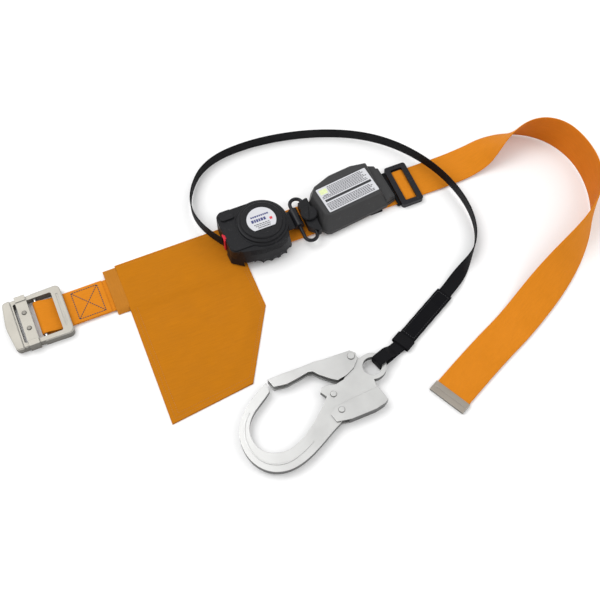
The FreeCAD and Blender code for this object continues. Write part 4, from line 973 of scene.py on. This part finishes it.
class LIFELINE_OT_belt(bpy.types.Operator):
    """Waist webbing with its sewn fold and its stitching"""
    bl_idname = "lifeline.belt"
    bl_label = "Waist Belt"

    def execute(self, context):
        sizes = context.scene.lifeline_straps
        stations, fold_end = belt_stations()

        def inner_face(k, i, around):
            return around // 2 - 1 <= k < around - 2 and i > fold_end

        piece = strap("waist_strap", stations, sizes.belt_width - 0.0002, sizes.belt_thick,
                      under_material=inner_face)
        piece.data.materials.append(finish("belt_face"))
        fitted(piece, "belt", "belt_webbing", "belt_back")

        x0, x1, y0, y1, z = -269.0, -233.0, BUCKLE_Y - 20.5, BUCKLE_Y + 20.5, 5.62
        box = [at(x0, y0, z), at(x1, y0, z), at(x1, y1, z), at(x0, y1, z), at(x0, y0, z)]
        rows = [(box, UP), ([at(x0, y0, z), at(x1, y1, z)], UP), ([at(x0, y1, z), at(x1, y0, z)], UP)]
        thread = stitch_rows("belt_box_stitches", rows, sizes.stitch_pitch, 2.7 * MM, sizes.thread * 1.5,
                             finish("navy_thread"))
        fitted(thread, "belt")
        return {"FINISHED"}


def loop_round(name, low, high, wall):
    """A closed strap round the belt, from the corners of its CAD box."""
    inset, across = wall / 2, Vector((1, 0, 0))
    y0, y1, z0, z1 = low.y + inset, high.y - inset, low.z + inset, high.z - inset
    outline = between([(y0, z0), (y1, z0), (y1, z1), (y0, z1)], (0.04, 0.3, 0.7, 0.96))
    stations = facing([Vector(((low.x + high.x) / 2, y, z)) for y, z in outline], across)
    return strap(name, stations, high.x - low.x, wall, closed=True)


class LIFELINE_OT_keepers(bpy.types.Operator):
    """Webbing keeper beside the three-bar slide"""
    bl_idname = "lifeline.keepers"
    bl_label = "Keeper"

    def execute(self, context):
        low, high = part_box("belt_keeper")
        keeper = loop_round("belt_keeper_loop", low, high, 1.3 * MM)
        fitted(keeper, "belt", "belt_keeper", "black_webbing")
        return {"FINISHED"}


class LIFELINE_OT_pouch(bpy.types.Operator):
    """Flat cloth pouch that hangs from the belt: back, front, binding and seams"""
    bl_idname = "lifeline.pouch"
    bl_label = "Pouch"

    def execute(self, context):
        sizes = context.scene.lifeline_straps
        top_left, top_right = (-202.0, 33.0), (-34.5, 33.0)
        low_left, low_mid, low_right = (-206.5, -213.0), (-92.5, -200.0), (-35.5, -101.0)

        def outline(a, b, inset):
            x_top = top_left[0] + (top_right[0] - top_left[0]) * a
            start, end, t = (low_left, low_mid, a * 2) if a <= 0.5 else (low_mid, low_right, a * 2 - 1)
            x_low, y_low = (start[k] + (end[k] - start[k]) * t for k in (0, 1))
            x = x_top + (x_low - x_top) * b
            y = top_left[1] + (y_low - top_left[1]) * b
            middle_x, middle_y = -120.0, -75.0
            return x + (middle_x - x) * inset, y + (middle_y - y) * inset

        def back(a, b):
            x, y = outline(a, b, 0.0)
            ripple = 0.10 * math.sin(x * 0.09) * math.sin(y * 0.07)
            return at(x, y, 0.55 + abs(ripple))

        def front(a, b):
            x, y = outline(a, b, 0.004)
            over_belt = smooth((y + 50.0) / 16.0)
            level = 1.75 + (4.45 - 1.75) * over_belt
            wrap = smooth((y - 27.0) / 2.5)
            level += (1.9 - 4.45) * wrap
            edge = min(a, 1 - a, 1 - b) * 2
            below = smooth((-50.0 - y) / 40.0)
            full = smooth(edge / 0.42)
            bulge = sizes.sag / MM * full * below * (0.75 + 0.25 * math.sin(a * 7.0 + b * 3.0))
            crease = 0.45 * math.sin((x + y * 0.55) * 0.085) * full * below
            crease += 0.25 * math.sin((x * 0.6 - y) * 0.13 + 1.0) * full * below
            return at(x, y, level + bulge + crease)

        for name, node, place, cols, rows in (("pouch_back_cloth", "pouch_back_panel", back, 60, 60),
                                              ("pouch_front_cloth", "pouch_front_panel", front, 96, 140)):
            panel = cloth_panel(name, cols, rows, place, sizes.cloth_thick)
            fitted(panel, "pouch", node, "pouch_cloth")

        # binding tape round the mouth of the belt tunnel
        low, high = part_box("pouch_loop_hem")
        y0, y1 = low.y + 0.6 * MM, high.y - 0.6 * MM
        belt_edge = at(0, BUCKLE_Y - 26.5).y
        base, top, shut = 0.55 * MM, 4.72 * MM, 1.75 * MM
        profile = [(y0, 0.9 * MM), (y0 + 1 * MM, base), (0.5 * (y0 + y1), base), (y1 - 2 * MM, base),
                   (y1, 1.0 * MM), (y1, top - 1 * MM), (y1 - 1.2 * MM, top), (y1 - 8 * MM, top),
                   (0.5 * (y0 + y1), top), (belt_edge + 6 * MM, top), (belt_edge + 1 * MM, top),
                   (y0 + 1.2 * MM, shut)]
        mid_x = (low.x + high.x) / 2
        stations = facing([Vector((mid_x, y, z)) for y, z in profile], Vector((1, 0, 0)))
        hem = strap("pouch_binding", stations, high.x - low.x, 1.0 * MM, closed=True)
        fitted(hem, "pouch", "pouch_loop_hem", "binding_tape")

        # seams: down the left, along the bottom and up the right
        def seam(points_ab, lift):
            out = []
            for (a0, b0), (a1, b1) in zip(points_ab, points_ab[1:]):
                for k in range(40):
                    t = k / 40
                    out.append(front(a0 + (a1 - a0) * t, b0 + (b1 - b0) * t) + UP * (lift * MM))
            return out

        edge_row = [(0.025, 0.30), (0.025, 0.982), (0.5, 0.982), (0.972, 0.968), (0.972, 0.50)]
        inner_row = [(0.050, 0.30), (0.050, 0.962), (0.5, 0.962), (0.95, 0.945), (0.95, 0.50)]
        rows = [(seam(edge_row, 0.50), UP), (seam(inner_row, 0.53), UP)]
        thread = stitch_rows("pouch_stitches", rows, sizes.stitch_pitch * 1.05, 2.3 * MM, sizes.thread * 0.75,
                             finish("orange_thread"))
        fitted(thread, "pouch")
        return {"FINISHED"}


class LIFELINE_OT_labels(bpy.types.Operator):
    """Plain marks printed on the two labels"""
    bl_idname = "lifeline.labels"
    bl_label = "Label Printing"

    def execute(self, context):
        # round label: two rows of blocks, small rows below and one red square
        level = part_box("retractor_label")[1].z - 0.01 * MM
        turn = Matrix.Translation((DRUM_AXIS.x, DRUM_AXIS.y, 0))
        rng = random.Random(11)

        def row(y, x0, x1, tall, long, gap):
            out, x = [], x0
            while x + long < x1:
                size = long * rng.uniform(0.7, 1.15)
                out.append(((x + size / 2) * MM, y * MM, size / 2 * MM, tall / 2 * MM))
                x += size + gap
            return out

        blue = row(7.2, -13.0, 13.5, 2.6, 2.4, 0.6) + row(0.8, -14.0, 10.0, 4.6, 3.0, 0.8)
        grey = row(-5.4, -12.5, 12.5, 1.2, 3.2, 0.7) + row(-8.0, -11.0, 11.5, 1.2, 2.6, 0.6)
        grey += row(-10.9, -8.5, 9.0, 1.6, 1.5, 0.5)
        square = [(13.0 * MM, -1.8 * MM, 1.9 * MM, 2.0 * MM)]
        for name, marks, ink in (("round_label_blocks", blue, "blue_ink"),
                                 ("round_label_lines", grey, "grey_ink"),
                                 ("round_label_square", square, "red_ink")):
            piece = printed_marks(name, marks, level, turn, 0.05 * MM, finish(ink))
            fitted(piece, "retractor")

        # pack label: fine rows, one thick bar and a pale green patch
        pack = at(130, 5.5)
        turn = Matrix.Translation((pack.x, pack.y, 0)) @ Matrix.Rotation(math.radians(BELT_TURN), 4, "Z")
        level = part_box("pack_label")[1].z - 0.01 * MM
        fine = []
        for k in range(8):
            y = 20.0 - k * 2.15
            fine += row(y, -23.0 if y > 8 else -36.5, 33.0 + 3 * math.sin(k * 2.1), 1.15, 2.6, 0.55)
        for k in range(6):
            fine += row(-4.6 - k * 2.15, -36.5, 34.0 + 2 * math.sin(k * 1.7), 1.15, 3.2, 0.6)
        bars = [(0.5 * MM, 0.4 * MM, 36.0 * MM, 1.9 * MM), (-30.0 * MM, 9.0 * MM, 4.2 * MM, 0.5 * MM)]
        patch = [(-30.5 * MM, 15.5 * MM, 5.5 * MM, 4.0 * MM)]
        for name, marks, ink in (("pack_label_lines", fine, "grey_ink"),
                                 ("pack_label_bar", bars, "black_ink"),
                                 ("pack_label_patch", patch, "green_ink")):
            piece = printed_marks(name, marks, level, turn, 0.05 * MM, finish(ink))
            fitted(piece, "belt")
        return {"FINISHED"}


NODE_FINISH = {
    "case_plastic": ("retractor_back_cover", "retractor_front_cover", "connector_block", "connector_knob",
                     "shaft_bushes", "drum", "spring_cup"),
    "pack_plastic": ("pack_base", "pack_cover"),
    "guide_plastic": ("webbing_guide",),
    "label_film": ("retractor_label", "pack_label"),
    "hook_plate": ("hook_body", "hook_gate", "lock_lever", "gate_rivet", "lock_rivet", "stop_rivet"),
    "buckle_cast": ("buckle_frame", "buckle_end_cover", "buckle_slider"),
    "rivet_steel_recess_shade": ("slider_rivets",),
    "plain_steel": ("buckle_bar", "pack_screws", "retractor_screws", "ratchet_ring", "power_spring",
                    "drum_shaft", "pawl_carrier", "pawl_pins", "pawl_1", "pawl_2", "gate_spring"),
    "clip_steel": ("belt_end_clip",),
    "coated_steel": ("triglide", "link_ring", "retractor_frame"),
    "black_cloth": ("tear_webbing", "pack_keepers", "wound_webbing", "webbing_lead"),
}


class LIFELINE_OT_finishes(bpy.types.Operator):
    """Finishes of the moulded and metal parts"""
    bl_idname = "lifeline.finishes"
    bl_label = "Part Finishes"

    def execute(self, context):
        for name, nodes in NODE_FINISH.items():
            for node in nodes:
                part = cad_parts[node]
                if not part.material_slots:
                    part.data.materials.append(None)
                for slot in part.material_slots:
                    slot.material = finish(name)
        return {"FINISHED"}


STEPS = (LIFELINE_OT_stage, LIFELINE_OT_lanyard, LIFELINE_OT_sleeve, LIFELINE_OT_belt, LIFELINE_OT_keepers,
         LIFELINE_OT_pouch, LIFELINE_OT_labels, LIFELINE_OT_finishes)


class LIFELINE_PT_panel(bpy.types.Panel):
    """Builders and settings of the lifeline"""
    bl_idname = "LIFELINE_PT_panel"
    bl_label = "Lifeline"
    bl_space_type = "VIEW_3D"
    bl_region_type = "UI"
    bl_category = "Lifeline"

    def draw(self, context):
        for settings in (context.scene.lifeline_straps, context.scene.lifeline_colours,
                         context.scene.lifeline_light):
            box = self.layout.box()
            for name in settings.__annotations__:
                box.prop(settings, name)
        for step in STEPS:
            self.layout.operator(step.bl_idname)


GROUPS_OF_SETTINGS = (("lifeline_straps", LIFELINE_PG_straps), ("lifeline_colours", LIFELINE_PG_colours),
                      ("lifeline_light", LIFELINE_PG_light))
CLASSES = tuple(kind for _, kind in GROUPS_OF_SETTINGS) + STEPS + (LIFELINE_PT_panel,)


def register():
    for kind in CLASSES:
        bpy.utils.register_class(kind)
    for name, kind in GROUPS_OF_SETTINGS:
        setattr(bpy.types.Scene, name, bpy.props.PointerProperty(type=kind))


def unregister():
    for name, _ in GROUPS_OF_SETTINGS:
        delattr(bpy.types.Scene, name)
    for kind in reversed(CLASSES):
        bpy.utils.unregister_class(kind)


def main():
    register()
    for step in STEPS:
        group, name = step.bl_idname.split(".")
        getattr(getattr(bpy.ops, group), name)()


if __name__ == "__main__":
    main()
